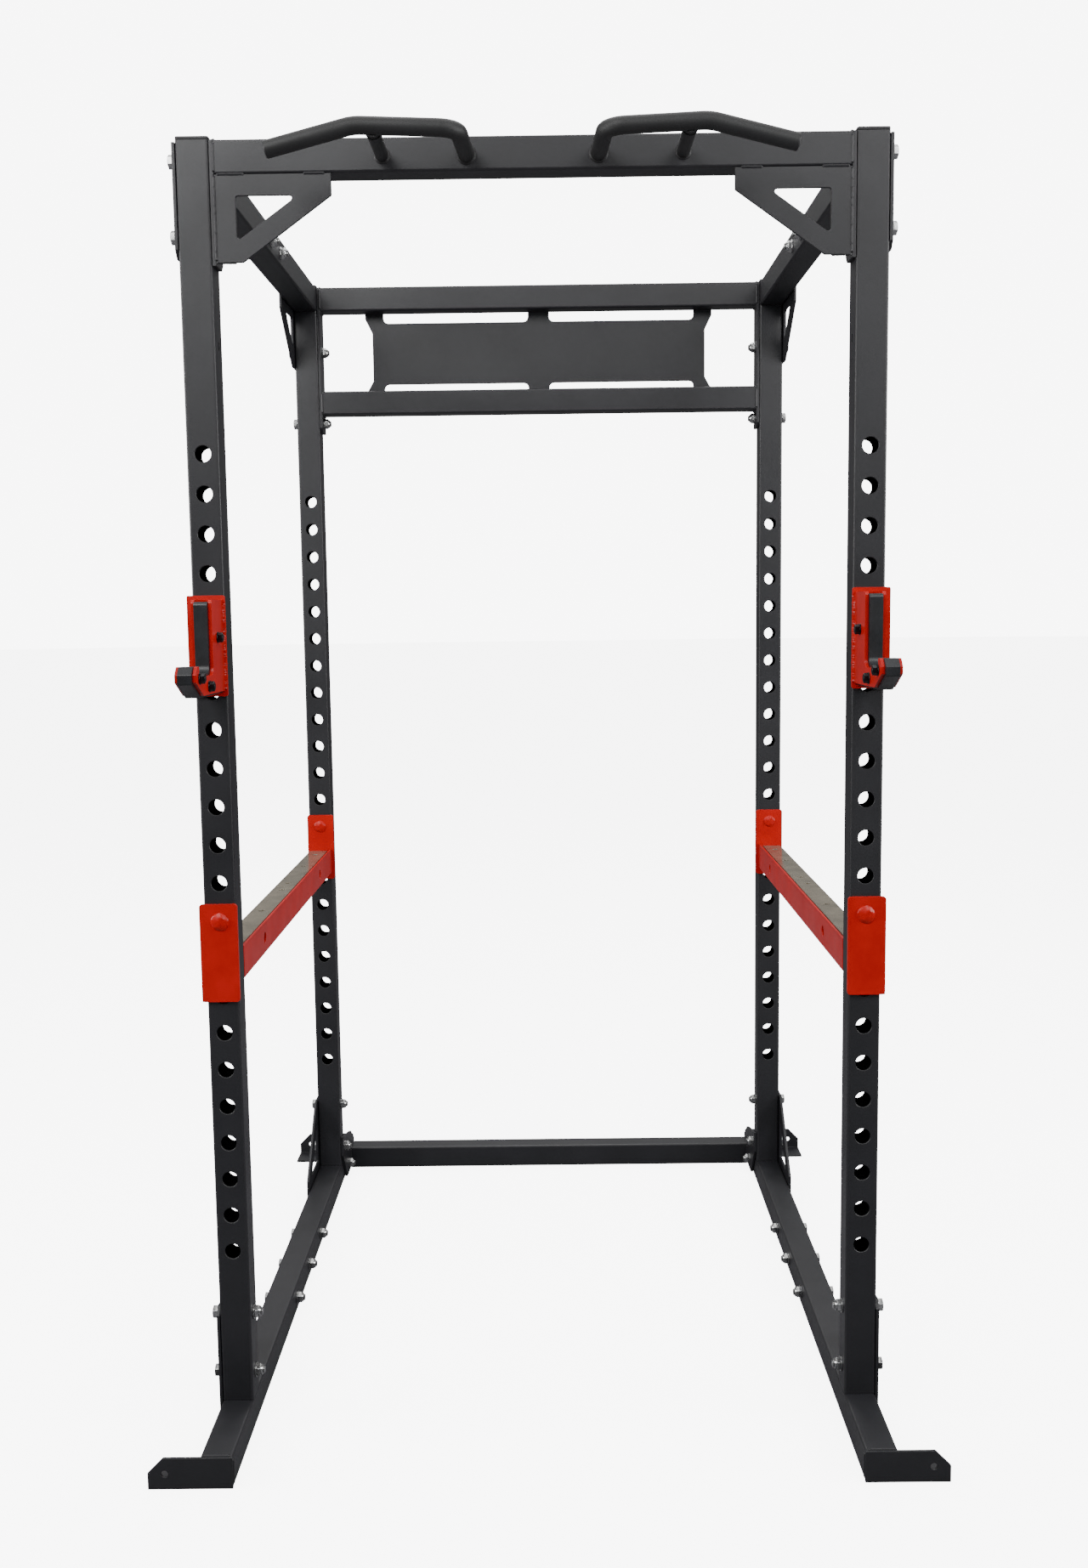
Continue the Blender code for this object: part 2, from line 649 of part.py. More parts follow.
def make_base_end_plate(side_name):
    """Shaped plate that bolts the rear crossmember to the upright and the base rail."""
    side = SIDES[side_name]
    front = BACK_Y + 0.002
    rear = FACE_Y + CROSSMEMBER_SETBACK + TUBE + 0.002
    floor_gap = 0.002
    outline = [
        (front, 0.072),
        (FACE_Y + 0.012, floor_gap),
        (rear, floor_gap),
        (rear, BASE_END_PLATE_REAR_LIP),
        (rear - TUBE * 0.7, BASE_END_PLATE_REAR_TOP),
        (front, BASE_END_PLATE_FRONT_TOP),
    ]
    bm = bmesh.new()
    prism(bm, outline, "X", side * END_PLATE_X, side * (END_PLATE_X + END_PLATE))
    origin = (side * END_PLATE_X, FACE_Y, 0)
    plate = add_object(f"base_end_plate_{side_name}", bm, "black_powder_coat", origin)
    bm = bmesh.new()
    hole = circle((POST_Y, BASE_BOLT_HEIGHTS["lower"]), BOLT_HOLE_DIAMETER, HOLE_SIDES)
    prism(bm, hole, "X", side * (END_PLATE_X - END_PLATE), side * (END_PLATE_X + 2 * END_PLATE))
    cut(plate, bm)


def make_base_bolt(side_name, level):
    """Through bolt of a front upright, with its washers and nut tightened on."""
    side = SIDES[side_name]
    head_seat = GUSSET_X + PLATE + GAP
    grip = head_seat - (INNER_X - GAP)
    head = BOLT_HEAD_DIAMETER / 2
    washer = WASHER_DIAMETER / 2
    shank = BOLT_DIAMETER / 2
    nut_start = grip + WASHER_THICKNESS
    nut_end = nut_start + BOLT_NUT_HEIGHT
    profile = [
        (head, -WASHER_THICKNESS - BOLT_HEAD_HEIGHT),
        (head, -WASHER_THICKNESS),
        (washer, -WASHER_THICKNESS),
        (washer, 0),
        (shank, 0),
        (shank, grip),
        (washer, grip),
        (washer, nut_start),
        (head, nut_start),
        (head, nut_end),
        (shank, nut_end),
        (shank, nut_end + BOLT_TAIL),
    ]
    seat = (side * head_seat, -POST_Y, BASE_BOLT_HEIGHTS[level])
    bm = bmesh.new()
    turned(bm, profile, seat, -side, PIN_SIDES)
    add_object(f"base_bolt_{level}_{side_name}", bm, "zinc_plate", seat)


# ---------------------------------------------------------------- J-hooks and safeties

def make_pin(bm, side, plate_y, far_y, pin_z):
    """Round pin from inside the bracket plate to its far end, along Y."""
    prism(bm, circle((side * POST_X, pin_z), PIN_DIAMETER, PIN_SIDES), "Y", plate_y, far_y)


def bracket_plate_x(side, overlaps):
    """Inner and outer edges of a bracket plate on the face of an upright."""
    return side * (INNER_X - overlaps[0]), side * (OUTER_X + overlaps[1])


def hook_outline(bottom, top, proud, floor_lift):
    """Side view of the J: (distance ahead of the bracket plate, height) pairs.

    proud grows the outline at the front and at the nose, floor_lift raises the cradle floor.
    """
    floor = bottom + HOOK_FLOOR_ABOVE_BOTTOM + floor_lift
    keel = bottom + HOOK_KEEL_ABOVE_BOTTOM - floor_lift
    nose = HOOK_TOTAL_DEPTH + proud
    body = HOOK_BODY_DEPTH + proud
    lip = HOOK_TOTAL_DEPTH - HOOK_LIP - proud
    lip_top = bottom + HOOK_FLOOR_ABOVE_BOTTOM + HOOK_LIP_HEIGHT
    chin = keel + HOOK_CHIN_RISE
    outline = [
        (0, keel),
        (nose - HOOK_CHIN_LENGTH, keel),
        (nose, chin),
        (nose, lip_top - HOOK_LIP / 2),
        (nose - HOOK_LIP / 2, lip_top),
        (lip, lip_top),
        (lip - floor_lift, floor),
        (body, floor),
        (body, top),
        (0, top),
    ]
    radii = [0, 0, 0, 0, 0, 0, 0, HOOK_CORNER_RADIUS, HOOK_CROWN_RADIUS, 0]
    return rounded(outline, radii)


def make_hook(side_name):
    """J-hook: welded bracket with its pin, and the plastic core held between its side plates."""
    side = SIDES[side_name]
    pin_z = hole_z(HOOK_HOLE_INDEX)
    pivot = (side * POST_X, -FACE_Y, pin_z)
    plate_back = -FACE_Y - GAP
    plate_front = plate_back - BRACKET_PLATE
    top = pin_z + HOOK_PLATE_ABOVE_PIN
    bottom = top - HOOK_PLATE_HEIGHT
    inner, outer = bracket_plate_x(side, HOOK_PLATE_OVERLAPS)
    flange_inner = side * (OUTER_X + GAP)
    flange_top = pin_z - HOOK_FLANGE_DROP
    bm = bmesh.new()
    box(bm, (inner, outer), (plate_front, plate_back), (bottom, top))
    bracket = add_object(f"j_hook_bracket_{side_name}", bm, "red_powder_coat", pivot)
    bm = bmesh.new()
    make_pin(bm, side, plate_front + BRACKET_PLATE / 2, -BACK_Y + PIN_TAIL, pin_z)
    join(bracket, bm)
    bm = bmesh.new()
    flange_y = (plate_front + BRACKET_PLATE / 2, -FACE_Y + HOOK_FLANGE_DEPTH)
    box(bm, (flange_inner, outer), flange_y, (bottom, flange_top))
    join(bracket, bm)
    core_inner = INNER_X + HOOK_SIDE_PLATE_INSET + HOOK_SIDE_PLATE + GAP
    core_outer = core_inner + HOOK_CORE
    steel = hook_outline(bottom, top - HOOK_TOP_MARGIN, 0, 0)
    root = BRACKET_PLATE / 2
    for plate_inner in (core_inner - GAP - HOOK_SIDE_PLATE, core_outer + GAP):
        bm = bmesh.new()
        outline = [(plate_front - d if d > 0 else plate_front + root, z) for d, z in steel]
        prism(bm, outline, "X", side * plate_inner, side * (plate_inner + HOOK_SIDE_PLATE))
        join(bracket, bm)
    core = hook_outline(bottom, top - HOOK_TOP_MARGIN - HOOK_CORE_PROUD / 2, HOOK_CORE_PROUD, HOOK_FLOOR_PROUD)
    bm = bmesh.new()
    prism(bm, [(plate_front - GAP - d, z) for d, z in core], "X", side * core_inner, side * core_outer)
    add_object(f"j_hook_core_{side_name}", bm, "black_plastic", pivot)


def make_safety(side_name):
    """Flip-down safety: bar, front and rear brackets with their pins, and two liner strips."""
    side = SIDES[side_name]
    pin_z = hole_z(SAFETY_HOLE_INDEX)
    pivot = (side * POST_X, -FACE_Y, pin_z)
    inner, outer = bracket_plate_x(side, SAFETY_FRONT_PLATE_OVERLAPS)
    top = pin_z + SAFETY_PLATE_ABOVE_PIN
    bottom = top - SAFETY_PLATE_HEIGHT
    bar_top = pin_z - SAFETY_BAR_TOP_DROP
    bar_bottom = bar_top - SAFETY_BAR_HEIGHT
    bar_front = -BACK_Y + SAFETY_BAR_CLEARANCE

    plate_back = -FACE_Y - GAP
    plate_front = plate_back - BRACKET_PLATE
    bm = bmesh.new()
    box(bm, (inner, outer), (plate_front, plate_back), (bottom, top))
    front = add_object(f"safety_front_bracket_{side_name}", bm, "red_powder_coat", pivot)
    bm = bmesh.new()
    make_pin(bm, side, plate_front + BRACKET_PLATE / 2, -BACK_Y + SAFETY_BAR_CLEARANCE / 2, pin_z)
    join(front, bm)
    bm = bmesh.new()
    flange_y = (plate_front + BRACKET_PLATE / 2, bar_front + SAFETY_FLANGE_OVERLAP)
    box(bm, (side * (OUTER_X + GAP), outer), flange_y, (bottom, pin_z - SAFETY_FLANGE_DROP))
    join(front, bm)

    inner, outer = bracket_plate_x(side, SAFETY_REAR_PLATE_OVERLAPS)
    plate_back = BACK_Y - GAP
    plate_front = plate_back - BRACKET_PLATE
    bm = bmesh.new()
    top = pin_z + SAFETY_REAR_PLATE_ABOVE_PIN
    box(bm, (inner, outer), (plate_front, plate_back), (top - SAFETY_REAR_PLATE_HEIGHT, top))
    rear = add_object(f"safety_rear_bracket_{side_name}", bm, "red_powder_coat", pivot)
    bm = bmesh.new()
    make_pin(bm, side, plate_front + BRACKET_PLATE / 2, FACE_Y + PIN_TAIL, pin_z)
    join(rear, bm)

    bar_rear = plate_front - GAP
    web_top = bar_top - SAFETY_LINER_RECESS - SAFETY_LINER - GAP
    web_bottom = web_top - SAFETY_BAR_WALL
    wall_inner = INNER_X + SAFETY_BAR_WALL
    wall_outer = OUTER_X - SAFETY_BAR_WALL
    profile = [
        (INNER_X, bar_bottom),
        (wall_inner, bar_bottom),
        (wall_inner, web_bottom),
        (wall_outer, web_bottom),
        (wall_outer, bar_bottom),
        (OUTER_X, bar_bottom),
        (OUTER_X, web_top),
        (wall_inner, web_top),
        (wall_inner, bar_top),
        (INNER_X, bar_top),
    ]
    bm = bmesh.new()
    prism(bm, [(side * x, z) for x, z in profile], "Y", bar_front, bar_rear)
    bar = add_object(f"safety_bar_{side_name}", bm, "red_powder_coat", pivot)
    bm = bmesh.new()
    hole_height = bar_top - SAFETY_SIDE_HOLE_DROP
    for hole_y in (bar_front + SAFETY_SIDE_HOLE_INSET, bar_rear - SAFETY_SIDE_HOLE_INSET):
        outline = circle((hole_y, hole_height), SAFETY_SIDE_HOLE_DIAMETER, HOLE_SIDES)
        prism(bm, outline, "X", side * (INNER_X - TUBE / 2), side * POST_X)
    cut(bar, bm)

    liner_x = (side * (wall_inner + SAFETY_LINER_SET_OFF), side * (OUTER_X - SAFETY_LINER_SET_IN))
    liner_z = (web_top + GAP, web_top + GAP + SAFETY_LINER)
    half_split = SAFETY_LINER_SPLIT_GAP / 2
    spans = {
        "front": (bar_front, SAFETY_LINER_SPLIT_Y - half_split),
        "rear": (SAFETY_LINER_SPLIT_Y + half_split, bar_rear),
    }
    for end_name, span in spans.items():
        bm = bmesh.new()
        box(bm, liner_x, span, liner_z)
        add_object(f"safety_liner_{end_name}_{side_name}", bm, "grey_liner", pivot)


# ---------------------------------------------------------------- assembly

def main():
    clear_scene()
    for side_name in SIDES:
        for end_name in ENDS:
            make_upright(side_name, end_name)
            make_upright_cap(side_name, end_name)
            make_foot(side_name, end_name)
            make_gusset(side_name, end_name, "base")
            make_gusset(side_name, end_name, "top")
        make_base_rail(side_name)
        make_top_rail(side_name)
        make_end_plate(side_name, "front", STEEL_TOP - FRONT_END_PLATE_DROP)
        make_end_plate(side_name, "rear", REAR_END_PLATE_BOTTOM)
        make_corner_gusset(side_name)
        make_grip(side_name)
        make_base_end_plate(side_name)
        for level in BASE_BOLT_HEIGHTS:
            make_base_bolt(side_name, level)
        make_hook(side_name)
        make_safety(side_name)
    top_centre_z = STEEL_TOP - TUBE / 2
    make_cross_tube("front_beam", (-POST_Y, top_centre_z))
    make_cross_tube("rear_top_beam", (POST_Y, top_centre_z))
    make_cross_tube("rear_lower_beam", (POST_Y, LOWER_BEAM_TOP - TUBE / 2))
    make_cross_tube("base_crossmember", (FACE_Y + CROSSMEMBER_SETBACK + TUBE / 2, TUBE / 2))
    make_name_plate()


main()
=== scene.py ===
"""Power cage of powder-coated square tube: the finished surfaces, fasteners, welds and finishes."""
import json
import math

import bmesh
import bpy
from mathutils import Matrix, Vector


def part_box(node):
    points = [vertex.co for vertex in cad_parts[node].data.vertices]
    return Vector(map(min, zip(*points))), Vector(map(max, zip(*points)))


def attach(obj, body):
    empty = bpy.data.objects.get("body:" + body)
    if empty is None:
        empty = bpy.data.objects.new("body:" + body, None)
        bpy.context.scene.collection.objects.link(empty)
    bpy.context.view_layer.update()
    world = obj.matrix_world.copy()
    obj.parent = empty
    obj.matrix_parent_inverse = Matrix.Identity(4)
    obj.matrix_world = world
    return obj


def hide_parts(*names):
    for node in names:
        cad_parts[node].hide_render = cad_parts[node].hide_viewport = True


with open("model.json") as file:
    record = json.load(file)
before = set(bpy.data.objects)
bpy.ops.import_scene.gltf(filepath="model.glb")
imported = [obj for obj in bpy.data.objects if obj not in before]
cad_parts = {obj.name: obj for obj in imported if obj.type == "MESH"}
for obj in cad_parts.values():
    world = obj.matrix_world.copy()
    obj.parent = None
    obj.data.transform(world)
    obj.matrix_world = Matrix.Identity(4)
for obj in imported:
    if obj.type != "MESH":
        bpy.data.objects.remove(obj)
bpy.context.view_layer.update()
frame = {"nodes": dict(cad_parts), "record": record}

SIDES = {"left": -1, "right": 1}
ENDS = {"front": -1, "rear": 1}
PIVOTS = {joint["name"]: Vector(joint["pos_m"]) for joint in frame["record"]["behaviour"]["joints"]}
# Middle of the four posts, from which distances along Y are counted
MIDDLE_Y = (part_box("upright_front_left")[0][1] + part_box("upright_rear_left")[1][1]) / 2

# Rolled tube and cut plate, in metres
TUBE_CORNER = 0.004          # outside radius of the square tube's corners
TUBE_WALL = 0.003
PLATE_EDGE = 0.0008          # edge softened by grinding and by the coating
GAP = 0.0003

# Pin holes of the uprights
HOLE_RADIUS = 0.0125
HOLE_PITCH = 0.060
HOLE_COUNT = 22
HOLE_CHAMFER = 0.0006
HOLE_SIDES = 40
HOLES_ABOVE_HOOKS = 4
SLOT_Z = 1.725               # small drain slot on the inner side of a front upright
SLOT_SIZE = (0.005, 0.013)

# Caps pressed into the tops of the uprights
CAP_THICKNESS = 0.005
CAP_SKIRT_INSET = 0.0035

# Grips
GRIP_RADIUS = 0.0125
GRIP_REACH = 0.125
GRIP_SIDES = 32
GRIP_BENDS = (0.028, 0.080)
GRIP_OUTER_X = 0.250
GRIP_INNER_X = 0.104
GRIP_FOOT_X = 0.098
GRIP_END_X = 0.376
GRIP_FOOT_Z = 1.993
GRIP_OUTER_RISE = 0.006
GRIP_END_DROP = 0.026
GRIP_POST_X = 0.223
GRIP_POST_RADIUS = 0.010

# Bolts
M12 = {"shank": 0.006, "flats": 0.019, "head": 0.0075, "nut": 0.0066, "collar": 0.0034, "washer": 0.012,
       "washer_height": 0.0025}
M8 = {"flats": 0.0135, "head": 0.0065, "washer": 0.0085, "washer_height": 0.0016}
THREAD_PITCH = 0.0014
THREAD_RIDGES = 5             # turns of thread that show beyond a nut
BASE_BOLT_Z = (0.090, 0.190)
TOP_BOLT_Z = (1.995, 1.885)
REAR_PLATE_BOLT_Z = 1.733
TOP_RAIL_BOLT_Y = (-0.042, 0.055)
TOP_RAIL_BOLT_Z = 1.992
BASE_RAIL_BOLT_Y = (-0.125, 0.025, 0.175)
BASE_RAIL_BOLT_Z = 0.026
CROSSMEMBER_BOLT = (0.585, 0.026)

# J-hooks and safeties
BRACKET_PLATE = 0.006
BRACKET_CORNER = 0.005
PIN_RADIUS = 0.0115
PIN_TAIL = 0.011
PIN_CHAMFER = 0.002
HOOK_SIDE_PLATE = 0.005
HOOK_BODY_DEPTH = 0.079
HOOK_TOTAL_DEPTH = 0.194
HOOK_LIP = 0.022
HOOK_LIP_HEIGHT = 0.016
HOOK_TOP_MARGIN = 0.007
HOOK_FLOOR = 0.036
HOOK_KEEL = 0.009
HOOK_CHIN_LENGTH = 0.046
HOOK_CHIN_RISE = 0.021
HOOK_CORE_PROUD = 0.006
HOOK_FLOOR_PROUD = 0.003
HOOK_CORNER_RADIUS = 0.012
HOOK_CROWN_RADIUS = 0.006
HOOK_BOLTS = ((0.044, 0.091), (0.112, 0.021), (0.172, 0.035))   # (ahead of the plate, above its lower edge)
HOOK_FLANGE_DROP = 0.038     # from the pin down to the top of the flange beside the post
HOOK_FLANGE_DEPTH = 0.045
SAFETY_WALL = 0.004
SAFETY_SIDE_HOLE_RADIUS = 0.0095
SAFETY_SIDE_HOLES = (0.180, 0.027)   # (in from the end of the bar, below its top)
SAFETY_FLANGE_DROP = 0.034
LINER_SCREW_Y = (-0.396, -0.189, 0.018, 0.090, 0.289, 0.440)
LINER_SCREW_RADIUS = 0.006


# ---------------------------------------------------------------- shapes

def low_high(node):
    """Lowest and highest corner of a CAD node."""
    low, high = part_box(node)
    return Vector(low), Vector(high)


def aim(position, direction):
    """Placement that turns local Z to a direction at a position."""
    return Matrix.Translation(position) @ Vector(direction).to_track_quat("Z", "Y").to_matrix().to_4x4()


# Placements of a plate drawn in local XY: across X as (y, z), across Y as (x, z), across Z as (x, y)
FACING = {
    "X": Matrix(((0, 0, 1, 0), (1, 0, 0, 0), (0, 1, 0, 0), (0, 0, 0, 1))),
    "Y": Matrix(((1, 0, 0, 0), (0, 0, 1, 0), (0, 1, 0, 0), (0, 0, 0, 1))),
    "Z": Matrix.Identity(4),
}


def face_outwards(bm):
    """Turn the faces of one closed body outwards."""
    bmesh.ops.recalc_face_normals(bm, faces=bm.faces)
    if bm.calc_volume(signed=True) < 0:
        bmesh.ops.reverse_faces(bm, faces=bm.faces)


def absorb(bm, part, placement=None):
    """Add a finished part to a bmesh, with its faces pointing out."""
    if placement:
        part.transform(placement)
    face_outwards(part)
    mesh = bpy.data.meshes.new("part")
    part.to_mesh(mesh)
    part.free()
    bm.from_mesh(mesh)
    bpy.data.meshes.remove(mesh)


def soften(bm, width, segments=2, angle=30, keep=None):
    """Round the sharp edges of a part."""
    edges = []
    for edge in bm.edges:
        if len(edge.link_faces) == 2 and edge.calc_face_angle() > math.radians(angle):
            if keep is None or keep(edge):
                edges.append(edge)
    bmesh.ops.bevel(bm, geom=edges, offset=width, offset_type="OFFSET", segments=segments, profile=0.5,
                    affect="EDGES", clamp_overlap=True, material=-1)


def block(low, high):
    """A plain block between two corners."""
    part = bmesh.new()
    low, high = Vector(low), Vector(high)
    bmesh.ops.create_cube(part, size=1.0)
    part.transform(Matrix.Translation((low + high) / 2) @ Matrix.Diagonal((*(high - low), 1)))
    return part


def soft_block(low, high, width=PLATE_EDGE, segments=2):
    """A block with rounded edges, between two corners given in any order."""
    low, high = Vector(low), Vector(high)
    lowest = Vector(min(a, b) for a, b in zip(low, high))
    highest = Vector(max(a, b) for a, b in zip(low, high))
    part = block(lowest, highest)
    soften(part, width, segments)
    return part


def long_edge(axis, length):
    """Test for the edges of a tube that run along it."""
    return lambda edge: abs(edge.verts[0].co[axis] - edge.verts[1].co[axis]) > length / 2


def rolled_tube(low, high):
    """Square tube with rolled corners; its ends are covered by other pieces, so it is closed."""
    size = high - low
    axis = max(range(3), key=lambda i: size[i])
    part = block(low, high)
    soften(part, TUBE_CORNER, 5, keep=long_edge(axis, size[axis]))
    return part


def hollow_tube(low, high):
    """Upright square tube with rolled corners and an open inside."""
    wall = Vector((TUBE_WALL, TUBE_WALL, 0))
    outlines = []
    for corner, near, far in ((TUBE_CORNER, low, high), (TUBE_CORNER - TUBE_WALL, low + wall, high - wall)):
        outlines.append(rounded(rectangle((near.x, far.x), (near.y, far.y)), corner))
    part = plate(outlines[0], outlines[1:], high.z - low.z, 0)
    part.transform(Matrix.Translation((0, 0, low.z)))
    return part


def spun(profile, sides):
    """Solid of revolution about Z from (radius, height) points."""
    part = bmesh.new()
    verts = [part.verts.new((radius, 0, height)) for radius, height in profile]
    edges = [part.edges.new(pair) for pair in zip(verts, verts[1:])]
    bmesh.ops.spin(part, geom=verts + edges, cent=(0, 0, 0), axis=(0, 0, 1), dvec=(0, 0, 0),
                   angle=math.tau, steps=sides, use_merge=True, use_normal_flip=False, use_duplicate=False)
    bmesh.ops.remove_doubles(part, verts=part.verts, dist=1e-6)
    return part


def rounded(outline, radii, steps=5):
    """Replace the corners of an outline by arcs; a radius of 0 keeps a corner sharp."""
    points = []
    count = len(outline)
    for i in range(count):
        corner = Vector(outline[i])
        before = (Vector(outline[i - 1]) - corner).normalized()
        after = (Vector(outline[(i + 1) % count]) - corner).normalized()
        radius = radii[i] if isinstance(radii, (list, tuple)) else radii
        if radius == 0:
            points.append(tuple(corner))
            continue
        half_angle = before.angle(after) / 2
        reach = radius / math.tan(half_angle)
        centre = corner + (before + after).normalized() * radius / math.sin(half_angle)
        start = corner + before * reach - centre
        turn = start.angle_signed(corner + after * reach - centre)
        for k in range(steps + 1):
            points.append(tuple(centre + Matrix.Rotation(-turn * k / steps, 2) @ start))
    return points


def round_hole(x, y, radius, sides=32):
    """Outline of a round opening."""
    return [(x + radius * math.cos(math.tau * i / sides), y + radius * math.sin(math.tau * i / sides))
            for i in range(sides)]


def plate(outline, openings, thickness, edge=PLATE_EDGE):
    """Flat plate drawn in XY, from 0 to its thickness along Z, with openings and soft edges."""
    part = bmesh.new()
    edges = []
    for loop in (outline, *openings):
        verts = [part.verts.new((*point, 0)) for point in loop]
        edges += [part.edges.new((verts[i - 1], verts[i])) for i in range(len(verts))]
    bmesh.ops.triangle_fill(part, use_beauty=True, edges=edges)
    grown = bmesh.ops.extrude_face_region(part, geom=part.faces[:], use_keep_orig=True)["geom"]
    top = [item for item in grown if isinstance(item, bmesh.types.BMVert)]
    bmesh.ops.translate(part, verts=top, vec=(0, 0, thickness))
    face_outwards(part)
    if edge:
        soften(part, edge, 2, angle=60)
    return part


def rectangle(x, y):
    """Outline between two pairs of limits, each given in any order."""
    return [(min(x), min(y)), (max(x), min(y)), (max(x), max(y)), (min(x), max(y))]


def bent_path(points, radii, steps):
    """Centre line of a bent rod: straight runs joined by arcs at the inner points."""
    path = [Vector(points[0])]
    for i, radius in enumerate(radii, start=1):
        corner = Vector(points[i])
        before = (Vector(points[i - 1]) - corner).normalized()
        after = (Vector(points[i + 1]) - corner).normalized()
        half_angle = before.angle(after) / 2
        centre = corner + (before + after).normalized() * radius / math.sin(half_angle)
        start = corner + before * radius / math.tan(half_angle) - centre
        end = corner + after * radius / math.tan(half_angle) - centre
        for k in range(steps + 1):
            path.append(centre + start.slerp(end, k / steps).normalized() * radius)
    path.append(Vector(points[-1]))
    return path


def swept(path, radii, sides):
    """Round rod along a path, with a radius at each point."""
    part = bmesh.new()
    last_ring = None
    for i, point in enumerate(path):
        along = (path[min(i + 1, len(path) - 1)] - path[max(i - 1, 0)]).normalized()
        at_end = i in (0, len(path) - 1)
        ring = bmesh.ops.create_circle(part, cap_ends=at_end, segments=sides, radius=radii[i],
                                       matrix=aim(point, along))["verts"]
        edges = list(dict.fromkeys(edge for vert in ring for edge in vert.link_edges))
        if last_ring:
            bmesh.ops.bridge_loops(part, edges=last_ring + edges)
        last_ring = edges
    return part


def weld_bead(start, end, radius, sides=8, pitch=0.0035):
    """Rippled bead, half sunk in the corner it fills."""
    start, end = Vector(start), Vector(end)
    length = (end - start).length
    steps = max(4, round(length / pitch) * 2)
    path = [start.lerp(end, i / steps) for i in range(steps + 1)]
    radii = []
    for i in range(steps + 1):
        swell = 1.0 if i % 2 else 0.86
        wander = 1.0 + 0.10 * math.sin(i * 1.7) * math.sin(i * 0.61)
        taper = 0.45 if i in (0, steps) else 1.0
        radii.append(radius * swell * wander * taper)
    return swept(path, radii, sides)


def weld_ring(centre, direction, ring_radius, bead_radius, steps=28):
    """Fillet weld round a rod where it stands on a face."""
    profile = [
        (ring_radius - bead_radius, -bead_radius * 0.3),
        (ring_radius + bead_radius, -bead_radius * 0.3),
        (ring_radius + bead_radius * 0.8, bead_radius * 0.35),
        (ring_radius + bead_radius * 0.3, bead_radius * 0.9),
        (ring_radius - bead_radius * 0.4, bead_radius * 1.3),
        (ring_radius - bead_radius, bead_radius * 1.2),
        (ring_radius - bead_radius, -bead_radius * 0.3),
    ]
    part = spun(profile, steps)
    for vert in part.verts:
        angle = math.atan2(vert.co.y, vert.co.x)
        ripple = 1.0 + 0.035 * math.sin(angle * 14)
        vert.co.x *= ripple
        vert.co.y *= ripple
    part.transform(aim(centre, direction))
    return part


def carve(part, cutter):
    """Cut one closed part with another, and return the cut part."""
    objects = []
    for bm in (part, cutter):
        mesh = bpy.data.meshes.new("carving")
        bm.to_mesh(mesh)
        bm.free()
        made = bpy.data.objects.new("carving", mesh)
        bpy.context.collection.objects.link(made)
        objects.append(made)
    step = objects[0].modifiers.new("cut", "BOOLEAN")
    step.operation = "DIFFERENCE"
    step.object = objects[1]
    result = bpy.data.meshes.new_from_object(objects[0].evaluated_get(bpy.context.evaluated_depsgraph_get()))
    cut = bmesh.new()
    cut.from_mesh(result)
    for made in objects:
        bpy.data.meshes.remove(made.data)
    bpy.data.meshes.remove(result)
    return cut


# ---------------------------------------------------------------- finishes

def linear(code):
    """sRGB hex to linear colour."""
    values = []
    for i in (1, 3, 5):
        value = int(code[i:i + 2], 16) / 255
        values.append(value / 12.92 if value <= 0.04045 else ((value + 0.055) / 1.055) ** 2.4)
    return (*values, 1.0)


def add(tree, kind, inputs, **settings):
    """Add a node with its settings; inputs take values or other nodes' outputs."""
    node = tree.nodes.new(kind)
    for key, value in settings.items():
        setattr(node, key, value)
    for socket, value in inputs.items():
        if isinstance(value, bpy.types.NodeSocket):
            tree.links.new(value, node.inputs[socket])
        else:
            node.inputs[socket].default_value = value
    return node


def start_material(name, **sockets):
    """A named material and its shader, with the shader's plain sockets set."""
    made = bpy.data.materials.new(name)
    made.use_nodes = True
    shader = made.node_tree.nodes["Principled BSDF"]
    for socket, value in sockets.items():
        shader.inputs[socket.replace("_", " ")].default_value = value
    return made, made.node_tree, shader


def speckled(name, dark, light, patch, rough, grain, depth, **sockets):
    """Coated or moulded surface: soft patches of tone, a grain that shows as bump, and uneven gloss.

    patch and grain are sizes in metres; rough is a pair of roughness values.
    """
    made, tree, shader = start_material(name, **sockets)
    place = add(tree, "ShaderNodeTexCoord", {}).outputs["Object"]
    tone = add(tree, "ShaderNodeTexNoise", {"Vector": place, "Scale": 1 / patch, "Detail": 4.0, "Roughness": 0.6})
    spread = add(tree, "ShaderNodeMapRange", {0: tone.outputs[0], 1: 0.35, 2: 0.65})
    colour = add(tree, "ShaderNodeMix", {0: spread.outputs[0], 6: linear(dark), 7: linear(light)}, data_type="RGBA")
    tree.links.new(colour.outputs[2], shader.inputs["Base Color"])
    smear = add(tree, "ShaderNodeTexNoise", {"Vector": place, "Scale": 0.4 / patch, "Detail": 5.0})
    gloss = add(tree, "ShaderNodeMapRange", {0: smear.outputs[0], 1: 0.3, 2: 0.7, 3: rough[0], 4: rough[1]})
    tree.links.new(gloss.outputs[0], shader.inputs["Roughness"])
    peel = add(tree, "ShaderNodeTexNoise", {"Vector": place, "Scale": 1 / grain, "Detail": 2.0, "Roughness": 0.5})
    bump = add(tree, "ShaderNodeBump", {"Height": peel.outputs[0], "Strength": 1.0, "Distance": depth})
    tree.links.new(bump.outputs[0], shader.inputs["Normal"])
    return made


# Textured black powder coat on steel: a satin charcoal with a fine pebbled skin. The real grain is about
# 0.5 mm and is drawn at 2 mm so that it shows.
BLACK_COAT = speckled("black_textured_powder_coat", "#101014", "#16161a", 0.090, (0.42, 0.54), 0.0020, 0.00005)
